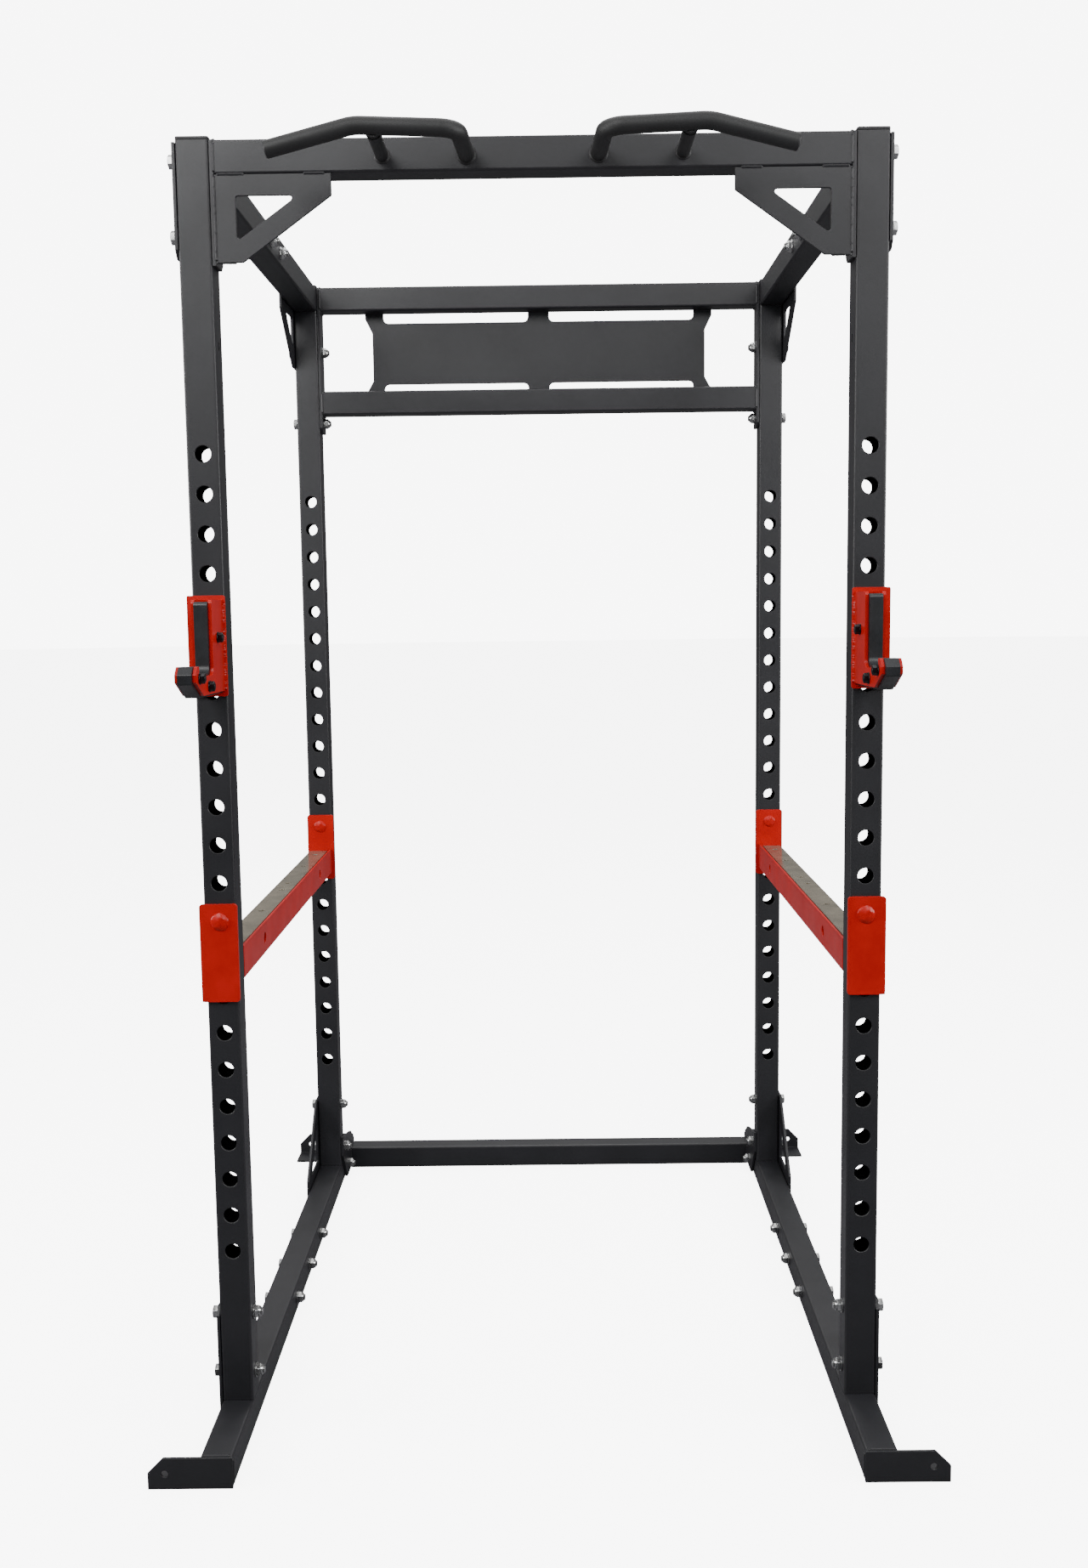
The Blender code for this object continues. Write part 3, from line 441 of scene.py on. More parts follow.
# Gloss red powder coat: bright and smooth, with a slow orange peel of about 3 mm.
RED_COAT = speckled("red_gloss_powder_coat", "#a00b05", "#ad1009", 0.050, (0.30, 0.40), 0.0035, 0.00005,
                    Specular_IOR_Level=0.25)
# Matte black grip coat on the bent handles: darker and duller than the frame, with a coarser bite.
GRIP_COAT = speckled("black_matte_grip_coat", "#09090a", "#101012", 0.050, (0.52, 0.64), 0.0020, 0.00008)
# UHMW polyethylene block: waxy black with faint saw and handling marks.
BLACK_UHMW = speckled("black_uhmw_polyethylene", "#0b0c0f", "#14161a", 0.018, (0.34, 0.50), 0.0012, 0.00004)
# Grey-brown UHMW liner strip: sawn smooth, so it shines at a low angle with a slow waviness of about 6 mm.
GREY_LINER = speckled("grey_liner_polyethylene", "#5a5448", "#6e6759", 0.040, (0.14, 0.22), 0.0060, 0.00004)
# Injection-moulded polyethylene caps and plugs: dull black with a spark-eroded grain.
MOULDED_BLACK = speckled("black_moulded_polyethylene", "#151517", "#1d1d20", 0.030, (0.45, 0.60), 0.0012, 0.00005)
# Black-oxide steel fasteners: dark and oily.
BLACK_OXIDE = speckled("black_oxide_steel", "#101013", "#1c1c20", 0.006, (0.28, 0.40), 0.0015, 0.00003, Metallic=0.6)
# Bright zinc-plated steel fasteners: light grey metal with cloudy plating.
ZINC = speckled("bright_zinc_plate", "#8d8e90", "#b0b0ae", 0.008, (0.16, 0.28), 0.0015, 0.00003, Metallic=1.0)


def finish(name, bm, surface, body, *nodes):
    """Turn a bmesh into a shown piece that rides on a body and stands for CAD nodes."""
    mesh = bpy.data.meshes.new(name)
    bm.to_mesh(mesh)
    bm.free()
    mesh.shade_smooth()
    mesh.set_sharp_from_angle(angle=math.radians(35))
    piece = bpy.data.objects.new(name, mesh)
    bpy.context.collection.objects.link(piece)
    mesh.materials.append(surface)
    weighted = piece.modifiers.new("even_normals", "WEIGHTED_NORMAL")
    weighted.keep_sharp = True
    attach(piece, body)
    if nodes:
        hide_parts(*nodes)
    return piece


def softened_node(node, surface, width=PLATE_EDGE, body="frame"):
    """A CAD node with its facets merged and its edges rounded."""
    bm = bmesh.new()
    bm.from_mesh(frame["nodes"][node].data)
    bmesh.ops.remove_doubles(bm, verts=bm.verts, dist=1e-5)
    bmesh.ops.dissolve_limit(bm, angle_limit=math.radians(1), verts=bm.verts, edges=bm.edges)
    face_outwards(bm)
    soften(bm, width, 2, angle=28)
    finish(node + "_fine", bm, surface, body, node)


# ---------------------------------------------------------------- fasteners

def hexagon(flats, height, chamfer):
    """Hexagonal bar end with a chamfered top, standing on Z = 0."""
    part = bmesh.new()
    radius = flats / 2 / math.cos(math.pi / 6)
    bmesh.ops.create_cone(part, cap_ends=True, segments=6, radius1=radius, radius2=radius, depth=height)
    part.transform(Matrix.Translation((0, 0, height / 2)))
    soften(part, chamfer, 2)
    return part


def disc(radius, height, edge, sides=28):
    """Flat round piece standing on Z = 0, with both rims chamfered."""
    profile = [(0, 0), (radius - edge, 0), (radius, edge),
               (radius, height - edge), (radius - edge, height), (0, height)]
    return spun(profile, sides)


def bolt_head(bm, seat, outward, size):
    """Hexagon head on its washer, seated on a face."""
    outward = Vector(outward)
    absorb(bm, disc(size["washer"], size["washer_height"], 0.0003), aim(seat, outward))
    top = Vector(seat) + outward * size["washer_height"]
    absorb(bm, hexagon(size["flats"], size["head"], 0.0008), aim(top, outward))
    crown = top + outward * size["head"]
    absorb(bm, disc(size["flats"] * 0.40, 0.0007, 0.0005), aim(crown, outward))


def locknut(bm, seat, outward, size):
    """Nylon-insert nut on its washer, with the end of the bolt showing."""
    outward = Vector(outward)
    absorb(bm, disc(size["washer"], size["washer_height"], 0.0003), aim(seat, outward))
    top = Vector(seat) + outward * size["washer_height"]
    absorb(bm, hexagon(size["flats"], size["nut"], 0.0008), aim(top, outward))
    crown = top + outward * size["nut"]
    radius = size["flats"] * 0.46
    collar = size["collar"]
    bore = size["shank"]
    profile = [(bore, 0), (radius, 0), (radius, collar * 0.5), (radius * 0.86, collar), (bore, collar), (bore, 0)]
    absorb(bm, spun(profile, 28), aim(crown, outward))
    thread = [(0, 0)]
    for i in range(THREAD_RIDGES):
        thread.append((bore, i * THREAD_PITCH))
        thread.append((bore * 0.88, i * THREAD_PITCH + THREAD_PITCH / 2))
    thread.append((0, THREAD_RIDGES * THREAD_PITCH))
    absorb(bm, spun(thread, 20), aim(crown, outward))


def through_bolt(name, side, y, z, outer_x, inner_x, *nodes):
    """M12 bolt across a tube: head outside, nut towards the middle of the cage."""
    bm = bmesh.new()
    bolt_head(bm, (side * outer_x, y, z), (side, 0, 0), M12)
    locknut(bm, (side * inner_x, y, z), (-side, 0, 0), M12)
    finish(name, bm, ZINC, "frame", *nodes)


# ---------------------------------------------------------------- frame

def make_upright(end_name, side_name):
    """Post with its row of pin holes through both walls, and a drain slot in a front post."""
    node = f"upright_{end_name}_{side_name}"
    low, high = low_high(node)
    middle = (low + high) / 2
    half = (high.y - low.y) / 2
    cutter = bmesh.new()
    top_hole_z = PIVOTS["j_hook_flip_left"].z + HOLES_ABOVE_HOOKS * HOLE_PITCH
    flare = HOLE_RADIUS + HOLE_CHAMFER
    profile = [(0, -2 * half), (flare, -2 * half), (flare, -half), (HOLE_RADIUS, HOLE_CHAMFER - half),
               (HOLE_RADIUS, half - HOLE_CHAMFER), (flare, half), (flare, 2 * half), (0, 2 * half)]
    for index in range(HOLE_COUNT):
        centre = (middle.x, middle.y, top_hole_z - index * HOLE_PITCH)
        absorb(cutter, spun(profile, HOLE_SIDES), aim(centre, (0, 1, 0)))
    if end_name == "front":
        slot = rounded(rectangle((middle.y - SLOT_SIZE[0] / 2, middle.y + SLOT_SIZE[0] / 2),
                                 (SLOT_Z - SLOT_SIZE[1] / 2, SLOT_Z + SLOT_SIZE[1] / 2)), SLOT_SIZE[0] / 2.01)
        part = plate(slot, [], half, 0)
        inner_face = low.x if side_name == "right" else high.x
        absorb(cutter, part, Matrix.Translation((inner_face - half / 2, 0, 0)) @ FACING["X"])
    bm = bmesh.new()
    absorb(bm, carve(hollow_tube(low, high), cutter))
    finish(node + "_fine", bm, BLACK_COAT, "frame", node)


def make_tube(node):
    low, high = low_high(node)
    bm = bmesh.new()
    absorb(bm, rolled_tube(low, high))
    finish(node + "_fine", bm, BLACK_COAT, "frame", node)


def make_cap(node):
    """Pressed-in cap with a low crowned top."""
    low, high = low_high(node)
    bm = bmesh.new()
    seat = high.z - CAP_THICKNESS
    top = block((low.x, low.y, seat), high)
    soften(top, TUBE_CORNER, 4, keep=long_edge(2, CAP_THICKNESS))
    soften(top, 0.0015, 3, angle=50)
    absorb(bm, top)
    inset = Vector((CAP_SKIRT_INSET, CAP_SKIRT_INSET, 0))
    absorb(bm, soft_block(low + inset, Vector((high.x, high.y, seat + 0.001)) - inset, 0.001))
    finish(node + "_fine", bm, MOULDED_BLACK, "frame", node)


def make_grip(side_name):
    """Bent handle with its mid post, fillet welds and the plug in its free end."""
    side = SIDES[side_name]
    node = f"pullup_grip_{side_name}"
    face = low_high("front_beam")[0].y
    bar_y = face - GRIP_REACH
    points = [
        (side * GRIP_FOOT_X, face, GRIP_FOOT_Z),
        (side * GRIP_INNER_X, bar_y, GRIP_FOOT_Z),
        (side * GRIP_OUTER_X, bar_y, GRIP_FOOT_Z + GRIP_OUTER_RISE),
        (side * GRIP_END_X, bar_y, GRIP_FOOT_Z - GRIP_END_DROP),
    ]
    path = bent_path(points, GRIP_BENDS, 12)
    along = (path[-1] - path[-2]).normalized()
    bm = bmesh.new()
    path[-1] = path[-1] - along * 0.003
    absorb(bm, swept(path, [GRIP_RADIUS] * len(path), GRIP_SIDES))
    post = [Vector((side * GRIP_POST_X, face, GRIP_FOOT_Z)), Vector((side * GRIP_POST_X, bar_y, GRIP_FOOT_Z))]
    absorb(bm, swept(post, [GRIP_POST_RADIUS] * 2, GRIP_SIDES))
    absorb(bm, weld_ring((side * GRIP_FOOT_X, face, GRIP_FOOT_Z), (0, -1, 0), GRIP_RADIUS + 0.0006, 0.0022))
    absorb(bm, weld_ring((side * GRIP_POST_X, face, GRIP_FOOT_Z), (0, -1, 0), GRIP_POST_RADIUS + 0.0006, 0.0020))
    post_end = (side * GRIP_POST_X, bar_y + GRIP_RADIUS * 0.9, GRIP_FOOT_Z)
    absorb(bm, weld_ring(post_end, (0, 1, 0), GRIP_POST_RADIUS, 0.0016))
    finish(node + "_fine", bm, GRIP_COAT, "frame", node)
    bm = bmesh.new()
    radius = GRIP_RADIUS
    plug = [(0, -0.002), (radius * 0.98, -0.002), (radius * 0.98, 0), (radius * 0.9, 0.0015),
            (radius * 0.55, 0.0026), (0, 0.003)]
    absorb(bm, spun(plug, GRIP_SIDES), aim(path[-1], along))
    finish(f"grip_plug_{side_name}", bm, MOULDED_BLACK, "frame")


def make_frame_welds(side_name):
    """Stitched and continuous beads where plates meet tubes."""
    side = SIDES[side_name]
    bm = bmesh.new()
    beam_low, beam_high = low_high("front_beam")
    gusset_low, gusset_high = low_high(f"front_corner_gusset_{side_name}")
    root = side * (beam_high.x + 0.0002)
    face = beam_low.y
    # gusset to end plate, and beam to end plate
    bead_y = face + 0.001
    absorb(bm, weld_bead((root, bead_y, gusset_low.z + 0.002), (root, bead_y, gusset_high.z - 0.001), 0.0028))
    absorb(bm, weld_bead((root, bead_y, beam_low.z + 0.003), (root, bead_y, beam_high.z - 0.004), 0.0026))
    absorb(bm, weld_bead((root, face + 0.004, beam_high.z), (root, face + 0.046, beam_high.z), 0.0026))
    # stitches along the top of the gusset
    seam = gusset_high.z
    for near, far in ((0.004, 0.045), (0.133, 0.165)):
        start = (root - side * near, face + 0.0005, seam)
        end = (root - side * far, face + 0.0005, seam)
        absorb(bm, weld_bead(start, end, 0.0024))
    # lower end of the gusset
    absorb(bm, weld_bead((root, bead_y, gusset_low.z), (root - side * 0.030, face + 0.003, gusset_low.z), 0.0022))
    # round the ends of the cross beams; the lowest one has no bead on its underside, where it meets the floor
    for node in ("rear_top_beam", "rear_lower_beam", "base_crossmember"):
        low, high = low_high(node)
        end_x = side * high.x
        for z in ((high.z,) if node == "base_crossmember" else (low.z, high.z)):
            absorb(bm, weld_bead((end_x, low.y + 0.004, z), (end_x, high.y - 0.004, z), 0.0024))
        absorb(bm, weld_bead((end_x, low.y, low.z + 0.004), (end_x, low.y, high.z - 0.004), 0.0024))
        absorb(bm, weld_bead((end_x, high.y, low.z + 0.004), (end_x, high.y, high.z - 0.004), 0.0024))
    rail_low, rail_high = low_high(f"base_rail_{side_name}")
    for end_y in (rail_low.y, rail_high.y):
        start = (rail_low.x + 0.004, end_y, rail_high.z)
        end = (rail_high.x - 0.004, end_y, rail_high.z)
        absorb(bm, weld_bead(start, end, 0.0026))
        inner = rail_high.x if side < 0 else rail_low.x
        absorb(bm, weld_bead((inner, end_y, 0.006), (inner, end_y, rail_high.z - 0.004), 0.0022))
    finish(f"frame_welds_{side_name}", bm, BLACK_COAT, "frame")


def make_bolts(side_name):
    """Bolts of one side: posts to rails, gussets and end plates, and the rows along the rails."""
    side = SIDES[side_name]
    gusset = low_high(f"base_gusset_front_{side_name}")
    outer_x = max(abs(gusset[0].x), abs(gusset[1].x))
    upright = low_high(f"upright_front_{side_name}")
    inner_x = min(abs(upright[0].x), abs(upright[1].x))
    rail_x = max(abs(upright[0].x), abs(upright[1].x))
    end_plate = low_high(f"rear_end_plate_{side_name}")
    plate_x = min(abs(end_plate[0].x), abs(end_plate[1].x))
    for end_name, end in ENDS.items():
        post = low_high(f"upright_{end_name}_{side_name}")
        post_y = (post[0].y + post[1].y) / 2
        for level, z in zip(("lower", "upper"), BASE_BOLT_Z):
            inside = plate_x if (end > 0 and level == "lower") else inner_x
            nodes = [f"base_bolt_{level}_{side_name}"] if end < 0 else []
            through_bolt(f"bolt_base_{end_name}_{level}_{side_name}", side, post_y, z, outer_x, inside, *nodes)
        for number, z in enumerate(TOP_BOLT_Z):
            name = f"bolt_top_{end_name}_{number}_{side_name}"
            if number == 0:
                # its nut is hidden inside the end of the beam
                bm = bmesh.new()
                bolt_head(bm, (side * outer_x, post_y, z), (side, 0, 0), M12)
                finish(name, bm, ZINC, "frame")
            else:
                through_bolt(name, side, post_y, z, outer_x, plate_x)
    through_bolt(f"bolt_rear_plate_{side_name}", side, post_y, REAR_PLATE_BOLT_Z, rail_x, plate_x)
    bolt_y, bolt_z = CROSSMEMBER_BOLT
    through_bolt(f"bolt_crossmember_{side_name}", side, MIDDLE_Y + bolt_y, bolt_z, rail_x, plate_x)
    for number, y in enumerate(TOP_RAIL_BOLT_Y):
        through_bolt(f"bolt_top_rail_{number}_{side_name}", side, MIDDLE_Y + y, TOP_RAIL_BOLT_Z, rail_x, inner_x)
    for number, y in enumerate(BASE_RAIL_BOLT_Y):
        through_bolt(f"bolt_base_rail_{number}_{side_name}", side, MIDDLE_Y + y, BASE_RAIL_BOLT_Z, rail_x, inner_x)


# ---------------------------------------------------------------- J-hooks and safeties

def upright_pin(bm, pivot, start_y, end_y):
    """Locking pin with a chamfered nose, along Y."""
    length = abs(end_y - start_y)
    profile = [(0, 0), (PIN_RADIUS, 0), (PIN_RADIUS, length - PIN_CHAMFER), (PIN_RADIUS - PIN_CHAMFER, length),
               (0, length)]
    absorb(bm, spun(profile, 36), aim((pivot.x, start_y, pivot.z), (0, 1 if end_y > start_y else -1, 0)))


def plug_weld(bm, centre, outward, radius=0.0145, height=0.0048):
    """Ground weld over the root of a pin: a low uneven dome."""
    profile = [(0, height), (radius * 0.35, height * 0.97), (radius * 0.62, height * 0.80),
               (radius * 0.84, height * 0.48), (radius * 0.97, height * 0.14), (radius, -0.0005), (0, -0.0005)]
    part = spun(profile, 28)
    for vert in part.verts:
        reach = math.hypot(vert.co.x, vert.co.y)
        if vert.co.z > 0 and reach > 0.001:
            angle = math.atan2(vert.co.y, vert.co.x)
            vert.co.z += 0.0006 * math.sin(angle * 2 + reach * 700)
            vert.co.x *= 1 + 0.03 * math.sin(angle * 5)
            vert.co.y *= 1 + 0.03 * math.sin(angle * 5 + 1)
    absorb(bm, part, aim(centre, outward))


def bracket_plate(bm, x, y, z, corner=BRACKET_CORNER):
    """Flat plate across Y with rounded corners."""
    part = plate(rounded(rectangle(x, z), corner), [], abs(y[1] - y[0]))
    absorb(bm, part, Matrix.Translation((0, min(y), 0)) @ FACING["Y"])


def hook_outline(bottom, top, proud, floor_lift):
    """Side view of the J: (distance ahead of the bracket plate, height) pairs."""
    floor = bottom + HOOK_FLOOR + floor_lift
    keel = bottom + HOOK_KEEL - floor_lift
    nose = HOOK_TOTAL_DEPTH + proud
    body = HOOK_BODY_DEPTH + proud
    lip = HOOK_TOTAL_DEPTH - HOOK_LIP - proud
    lip_top = bottom + HOOK_FLOOR + HOOK_LIP_HEIGHT
    outline = [
        (0, keel),
        (nose - HOOK_CHIN_LENGTH, keel),
        (nose, keel + HOOK_CHIN_RISE),
        (nose, lip_top - HOOK_LIP / 2),
        (nose - HOOK_LIP / 2, lip_top),
        (lip, lip_top),
        (lip - floor_lift, floor),
        (body, floor),
        (body, top),
        (0, top),
    ]
    radii = [0, 0.002, 0.002, 0.002, 0.002, 0.002, 0.003, HOOK_CORNER_RADIUS, HOOK_CROWN_RADIUS, 0]
    return rounded(outline, radii, 6)


def make_hook(side_name):
    """J-hook: bracket plate, flange, pin and two side plates in steel, with a plastic core bolted between them."""
    side = SIDES[side_name]
    body = f"j_hook_{side_name}"
    pivot = PIVOTS[f"j_hook_flip_{side_name}"]
    low, high = low_high(f"j_hook_bracket_{side_name}")
    core_low, core_high = low_high(f"j_hook_core_{side_name}")
    upright_low, upright_high = low_high(f"upright_front_{side_name}")
    plate_back = upright_low.y - GAP
    plate_front = plate_back - BRACKET_PLATE
    inner_edge = high.x if side < 0 else low.x
    outer_edge = low.x if side < 0 else high.x
    post_outer = upright_low.x if side < 0 else upright_high.x
    bm = bmesh.new()
    bracket_plate(bm, (inner_edge, outer_edge), (plate_front, plate_back), (low.z, high.z), 0.003)
    upright_pin(bm, pivot, plate_front + 0.002, upright_high.y + PIN_TAIL)
    flange_start = (post_outer + side * GAP, plate_front + 0.0005, low.z)
    flange_end = (outer_edge, upright_low.y + HOOK_FLANGE_DEPTH, pivot.z - HOOK_FLANGE_DROP)
    absorb(bm, soft_block(flange_start, flange_end))
    steel = hook_outline(low.z, high.z - HOOK_TOP_MARGIN, 0, 0)
    outline = [(plate_front - d if d > 0 else plate_front + 0.002, z) for d, z in steel]
    core_inner = core_high.x if side < 0 else core_low.x
    core_outer = core_low.x if side < 0 else core_high.x
    faces = {
        "inner": (core_inner - side * GAP, core_inner - side * (GAP + HOOK_SIDE_PLATE)),
        "outer": (core_outer + side * GAP, core_outer + side * (GAP + HOOK_SIDE_PLATE)),
    }
    for place, span in faces.items():
        part = plate(outline, [], HOOK_SIDE_PLATE, 0.0009)
        absorb(bm, part, Matrix.Translation((min(span), 0, 0)) @ FACING["X"])
        bead_x, bead_y = span[1], plate_front + 0.0005
        width = 0.0042 if place == "inner" else 0.0020
        absorb(bm, weld_bead((bead_x, bead_y, low.z + 0.010), (bead_x, bead_y, high.z - 0.012), width))
    finish(f"j_hook_bracket_{side_name}_fine", bm, RED_COAT, body, f"j_hook_bracket_{side_name}")
    core = hook_outline(low.z, high.z - HOOK_TOP_MARGIN - HOOK_CORE_PROUD / 2, HOOK_CORE_PROUD, HOOK_FLOOR_PROUD)
    part = plate([(plate_front - GAP - d, z) for d, z in core], [], core_high.x - core_low.x, 0.0012)
    bm = bmesh.new()
    absorb(bm, part, Matrix.Translation((core_low.x, 0, 0)) @ FACING["X"])
    finish(f"j_hook_core_{side_name}_fine", bm, BLACK_UHMW, body, f"j_hook_core_{side_name}")
    bm = bmesh.new()
    for depth, height in HOOK_BOLTS:
        bolt_head(bm, (faces["inner"][1], plate_front - depth, low.z + height), (-side, 0, 0), M8)
    finish(f"j_hook_bolts_{side_name}", bm, BLACK_OXIDE, body)


def make_safety(side_name):
    """Pin-pipe safety: brackets with pins at both ends, a channel bar and its liner strips."""
    side = SIDES[side_name]
    body = f"safety_{side_name}"
    pivot = PIVOTS[f"safety_flip_{side_name}"]
    front_low, front_high = low_high(f"safety_front_bracket_{side_name}")
    rear_low, rear_high = low_high(f"safety_rear_bracket_{side_name}")
    bar_low, bar_high = low_high(f"safety_bar_{side_name}")
    post_low, post_high = low_high(f"upright_front_{side_name}")
    rear_post_low = low_high(f"upright_rear_{side_name}")[0]
    post_outer = post_low.x if side < 0 else post_high.x
    outer_edge = front_low.x if side < 0 else front_high.x

    # front bracket: plate, flange that folds round the post, pin and its plug weld
    plate_back = post_low.y - GAP
    plate_front = plate_back - BRACKET_PLATE
    bm = bmesh.new()
    bracket_plate(bm, (front_low.x, front_high.x), (plate_front, plate_back), (front_low.z, front_high.z))
    flange_top = pivot.z - SAFETY_FLANGE_DROP
    flange_start = (post_outer + side * GAP, plate_front + 0.0005, front_low.z)
    absorb(bm, soft_block(flange_start, (outer_edge, front_high.y, flange_top)))
    upright_pin(bm, pivot, plate_front + 0.002, post_high.y + 0.0007)
    plug_weld(bm, (pivot.x, plate_front, pivot.z), (0, -1, 0))
    bar_side = bar_low.x if side < 0 else bar_high.x
    for z in (front_low.z + 0.002, flange_top):
        absorb(bm, weld_bead((bar_side, bar_low.y + 0.004, z), (bar_side, front_high.y - 0.001, z), 0.0022))
    finish(f"safety_front_bracket_{side_name}_fine", bm, RED_COAT, body, f"safety_front_bracket_{side_name}")

    # rear bracket
    plate_back = rear_post_low.y - GAP
    plate_front = plate_back - BRACKET_PLATE
    bm = bmesh.new()
    bracket_plate(bm, (rear_low.x, rear_high.x), (plate_front, plate_back), (rear_low.z, rear_high.z))
    upright_pin(bm, pivot, plate_front + 0.002, rear_high.y)
    plug_weld(bm, (pivot.x, plate_front, pivot.z), (0, -1, 0), 0.0135, 0.004)
    finish(f"safety_rear_bracket_{side_name}_fine", bm, RED_COAT, body, f"safety_rear_bracket_{side_name}")

    # channel bar: two side walls, the inner one with a hole near each end, and the web under the liner
    liner_low = low_high(f"safety_liner_front_{side_name}")[0]
    web_top = liner_low.z - GAP
    bm = bmesh.new()
    hole_inset, hole_drop = SAFETY_SIDE_HOLES
    hole_z = bar_high.z - hole_drop
    hole_places = (bar_low.y + hole_inset, bar_high.y - hole_inset)
    holes = [round_hole(y, hole_z, SAFETY_SIDE_HOLE_RADIUS) for y in hole_places]
    outline = rectangle((bar_low.y, bar_high.y), (bar_low.z, bar_high.z))
    inner_x = bar_high.x - SAFETY_WALL if side < 0 else bar_low.x
    outer_x = bar_low.x if side < 0 else bar_high.x - SAFETY_WALL
    absorb(bm, plate(outline, holes, SAFETY_WALL, 0.0010), Matrix.Translation((inner_x, 0, 0)) @ FACING["X"])
    low_wall = rectangle((bar_low.y, bar_high.y), (bar_low.z, web_top))
    absorb(bm, plate(low_wall, [], SAFETY_WALL, 0.0010), Matrix.Translation((outer_x, 0, 0)) @ FACING["X"])
    web_low = Vector((bar_low.x + SAFETY_WALL - 0.001, bar_low.y + 0.0005, web_top - SAFETY_WALL))
    web_high = Vector((bar_high.x - SAFETY_WALL + 0.001, bar_high.y - 0.0005, web_top))
    absorb(bm, block(web_low, web_high))
    finish(f"safety_bar_{side_name}_fine", bm, RED_COAT, body, f"safety_bar_{side_name}")

    # liner strips with their countersunk screws
    screws = bmesh.new()
    for end_name in ENDS:
        node = f"safety_liner_{end_name}_{side_name}"
        low, high = low_high(node)
        middle_x = (low.x + high.x) / 2
        spots = [MIDDLE_Y + y for y in LINER_SCREW_Y if low.y < MIDDLE_Y + y < high.y]
        openings = [round_hole(middle_x, y, LINER_SCREW_RADIUS, 24) for y in spots]
        bm = bmesh.new()
        part = plate(rectangle((low.x, high.x), (low.y, high.y)), openings, high.z - low.z, 0.0009)
        absorb(bm, part, Matrix.Translation((0, 0, low.z)))
        finish(node + "_fine", bm, GREY_LINER, body, node)
        for y in spots:
            screw = disc(LINER_SCREW_RADIUS - 0.0002, 0.0022, 0.0008, 20)
            absorb(screws, screw, Matrix.Translation((middle_x, y, low.z)))
    finish(f"liner_screws_{side_name}", screws, BLACK_OXIDE, body)


# ---------------------------------------------------------------- studio

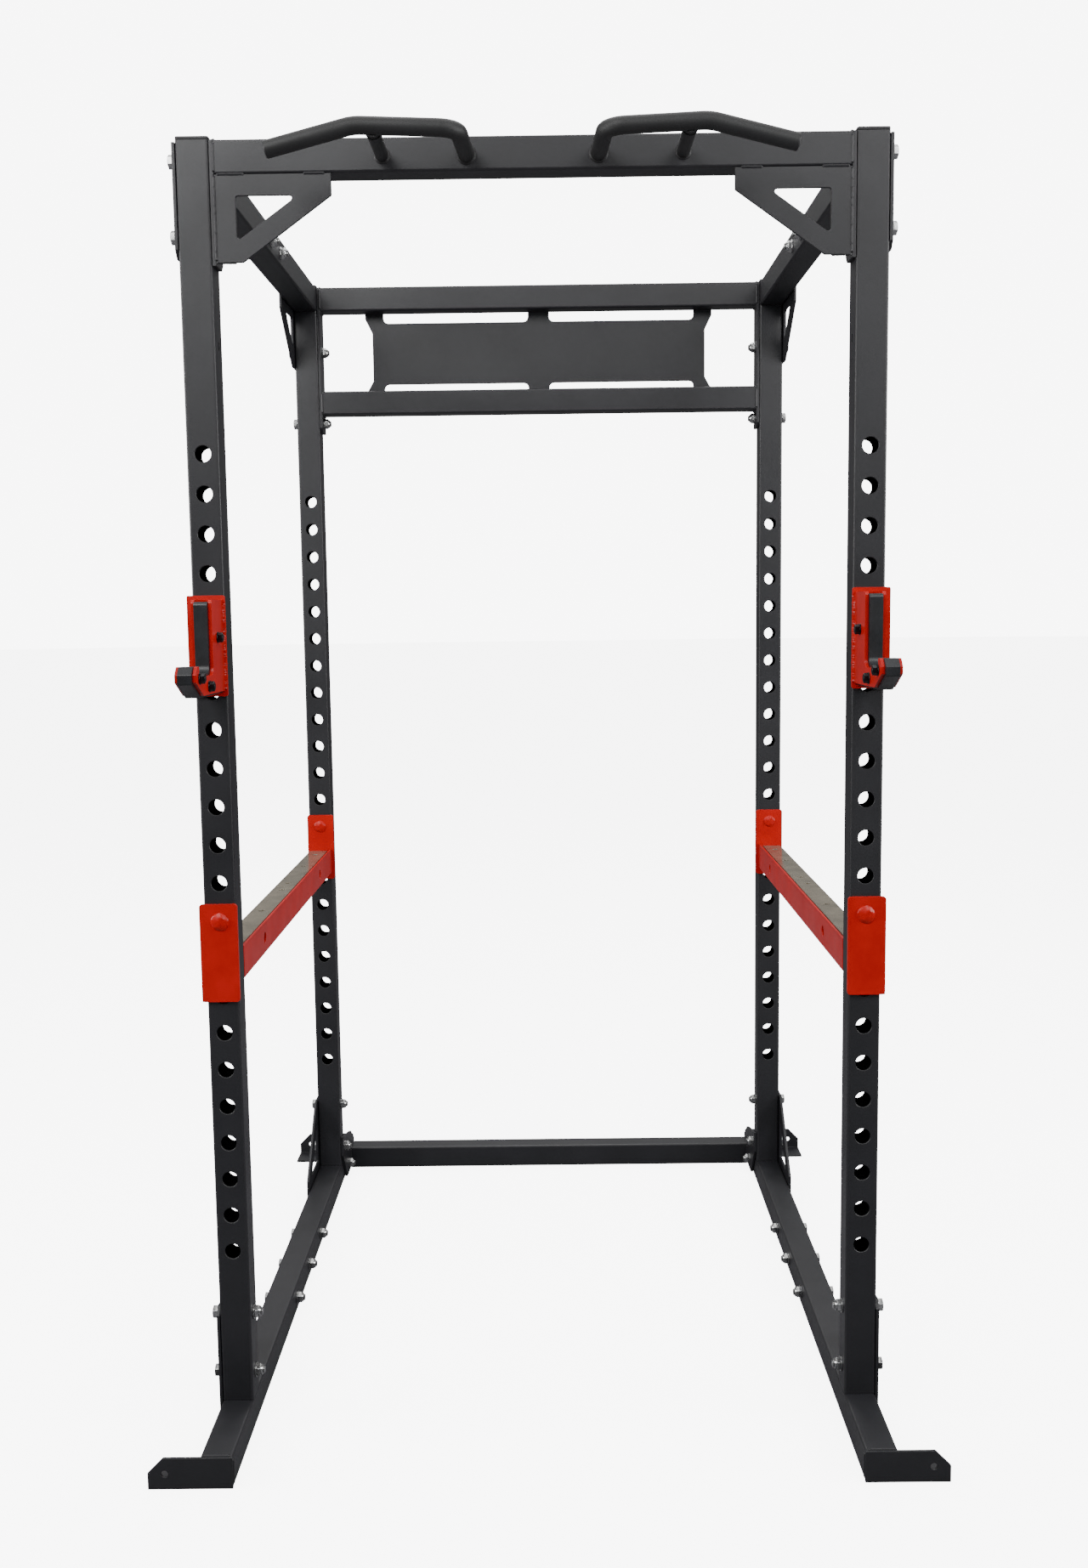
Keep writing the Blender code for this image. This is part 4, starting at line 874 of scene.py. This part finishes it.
def make_studio():
    """White paper floor and sweep, and six softboxes."""
    floor_mesh = bpy.data.meshes.new("studio_floor")
    bm = bmesh.new()
    bmesh.ops.create_circle(bm, cap_ends=True, segments=64, radius=60.0, matrix=Matrix.Translation((0, 0, -0.0005)))
    bm.to_mesh(floor_mesh)
    bm.free()
    floor = bpy.data.objects.new("studio_floor", floor_mesh)
    bpy.context.collection.objects.link(floor)
    paper, tree, shader = start_material("white_paper_floor", Roughness=0.9)
    place = add(tree, "ShaderNodeTexCoord", {}).outputs["Object"]
    tone = add(tree, "ShaderNodeTexNoise", {"Vector": place, "Scale": 0.4})
    colour = add(tree, "ShaderNodeMix", {0: tone.outputs[0], 6: linear("#f6f6f6"), 7: linear("#fafafa")},
                 data_type="RGBA")
    tree.links.new(colour.outputs[2], shader.inputs["Base Color"])
    # lit from below to the eye, so that the paper stays white but still takes the shadows; grey to the steel,
    # which keeps the undersides dark
    glow = add(tree, "ShaderNodeEmission", {"Strength": 6.4})
    lit = add(tree, "ShaderNodeAddShader", {0: shader.outputs[0], 1: glow.outputs[0]})
    eye = add(tree, "ShaderNodeLightPath", {}).outputs["Is Camera Ray"]
    dim = add(tree, "ShaderNodeBsdfDiffuse", {"Color": linear("#77777a")})
    both = add(tree, "ShaderNodeMixShader", {0: eye, 1: dim.outputs[0], 2: lit.outputs[0]})
    tree.links.new(both.outputs[0], tree.nodes["Material Output"].inputs["Surface"])
    floor_mesh.materials.append(paper)

    # a lit sweep to the eye, but a dimmer room for the steel, brightest overhead
    world = bpy.data.worlds.new("studio")
    world.use_nodes = True
    tree = world.node_tree
    tree.nodes.clear()
    direction = add(tree, "ShaderNodeSeparateXYZ", {0: add(tree, "ShaderNodeTexCoord", {}).outputs["Generated"]})
    overhead = add(tree, "ShaderNodeMapRange", {0: direction.outputs[2], 1: -0.2, 2: 0.9, 3: 0.04, 4: 0.60})
    room = add(tree, "ShaderNodeBackground", {"Color": (1, 1, 1, 1), "Strength": overhead.outputs[0]})
    sweep = add(tree, "ShaderNodeBackground", {"Color": (1, 1, 1, 1), "Strength": 8.0})
    eye = add(tree, "ShaderNodeLightPath", {}).outputs["Is Camera Ray"]
    both = add(tree, "ShaderNodeMixShader", {0: eye, 1: room.outputs[0], 2: sweep.outputs[0]})
    add(tree, "ShaderNodeOutputWorld", {"Surface": both.outputs[0]})
    bpy.context.scene.world = world

    for name, position, target, size, power in (
        ("key_softbox", (-1.4, -2.8, 3.3), (0, -0.4, 2.0), 1.6, 85),
        ("fill_softbox", (1.6, -2.8, 3.2), (0, -0.4, 2.0), 1.6, 60),
        ("top_softbox", (0, 0.4, 4.2), (0, 0, 1.0), 2.4, 60),
        ("left_softbox", (-3.0, -1.0, 1.9), (0, 0.1, 1.2), 1.5, 90),
        ("back_softbox", (0, 3.4, 4.6), (0, 0.4, 1.6), 1.8, 110),
        ("right_softbox", (3.0, -1.0, 1.9), (0, 0.1, 1.2), 1.5, 90),
    ):
        data = bpy.data.lights.new(name, "AREA")
        data.shape = "SQUARE"
        data.size = size
        data.energy = power
        lamp = bpy.data.objects.new(name, data)
        lamp.location = position
        lamp.rotation_euler = (Vector(target) - Vector(position)).to_track_quat("-Z", "Y").to_euler()
        bpy.context.collection.objects.link(lamp)


def make_camera():
    """Eye-level view from the front, tilted a little down."""
    data = bpy.data.cameras.new("camera")
    data.sensor_width = 36
    data.lens = 35
    camera = bpy.data.objects.new("camera", data)
    pan, tilt, roll = math.radians(0.29), math.radians(-6.57), math.radians(-0.73)
    turn = Matrix.Rotation(pan, 4, "Z") @ Matrix.Rotation(math.pi / 2 + tilt, 4, "X") @ Matrix.Rotation(roll, 4, "Z")
    camera.matrix_world = Matrix.Translation((0.017, MIDDLE_Y - 2.898, 1.324)) @ turn
    bpy.context.collection.objects.link(camera)
    bpy.context.scene.camera = camera


# ---------------------------------------------------------------- assembly

for side_name in SIDES:
    for end_name in ENDS:
        make_upright(end_name, side_name)
        make_cap(f"upright_cap_{end_name}_{side_name}")
        for plate_node in ("foot", "base_gusset", "top_gusset"):
            softened_node(f"{plate_node}_{end_name}_{side_name}", BLACK_COAT)
    for plate_node in ("front_end_plate", "rear_end_plate", "front_corner_gusset", "base_end_plate"):
        softened_node(f"{plate_node}_{side_name}", BLACK_COAT)
    make_tube(f"base_rail_{side_name}")
    make_tube(f"top_rail_{side_name}")
    make_grip(side_name)
    make_frame_welds(side_name)
    make_bolts(side_name)
    make_hook(side_name)
    make_safety(side_name)
for tube_node in ("front_beam", "rear_top_beam", "rear_lower_beam", "base_crossmember"):
    make_tube(tube_node)
softened_node("name_plate", BLACK_COAT, 0.0005)
make_studio()
make_camera()
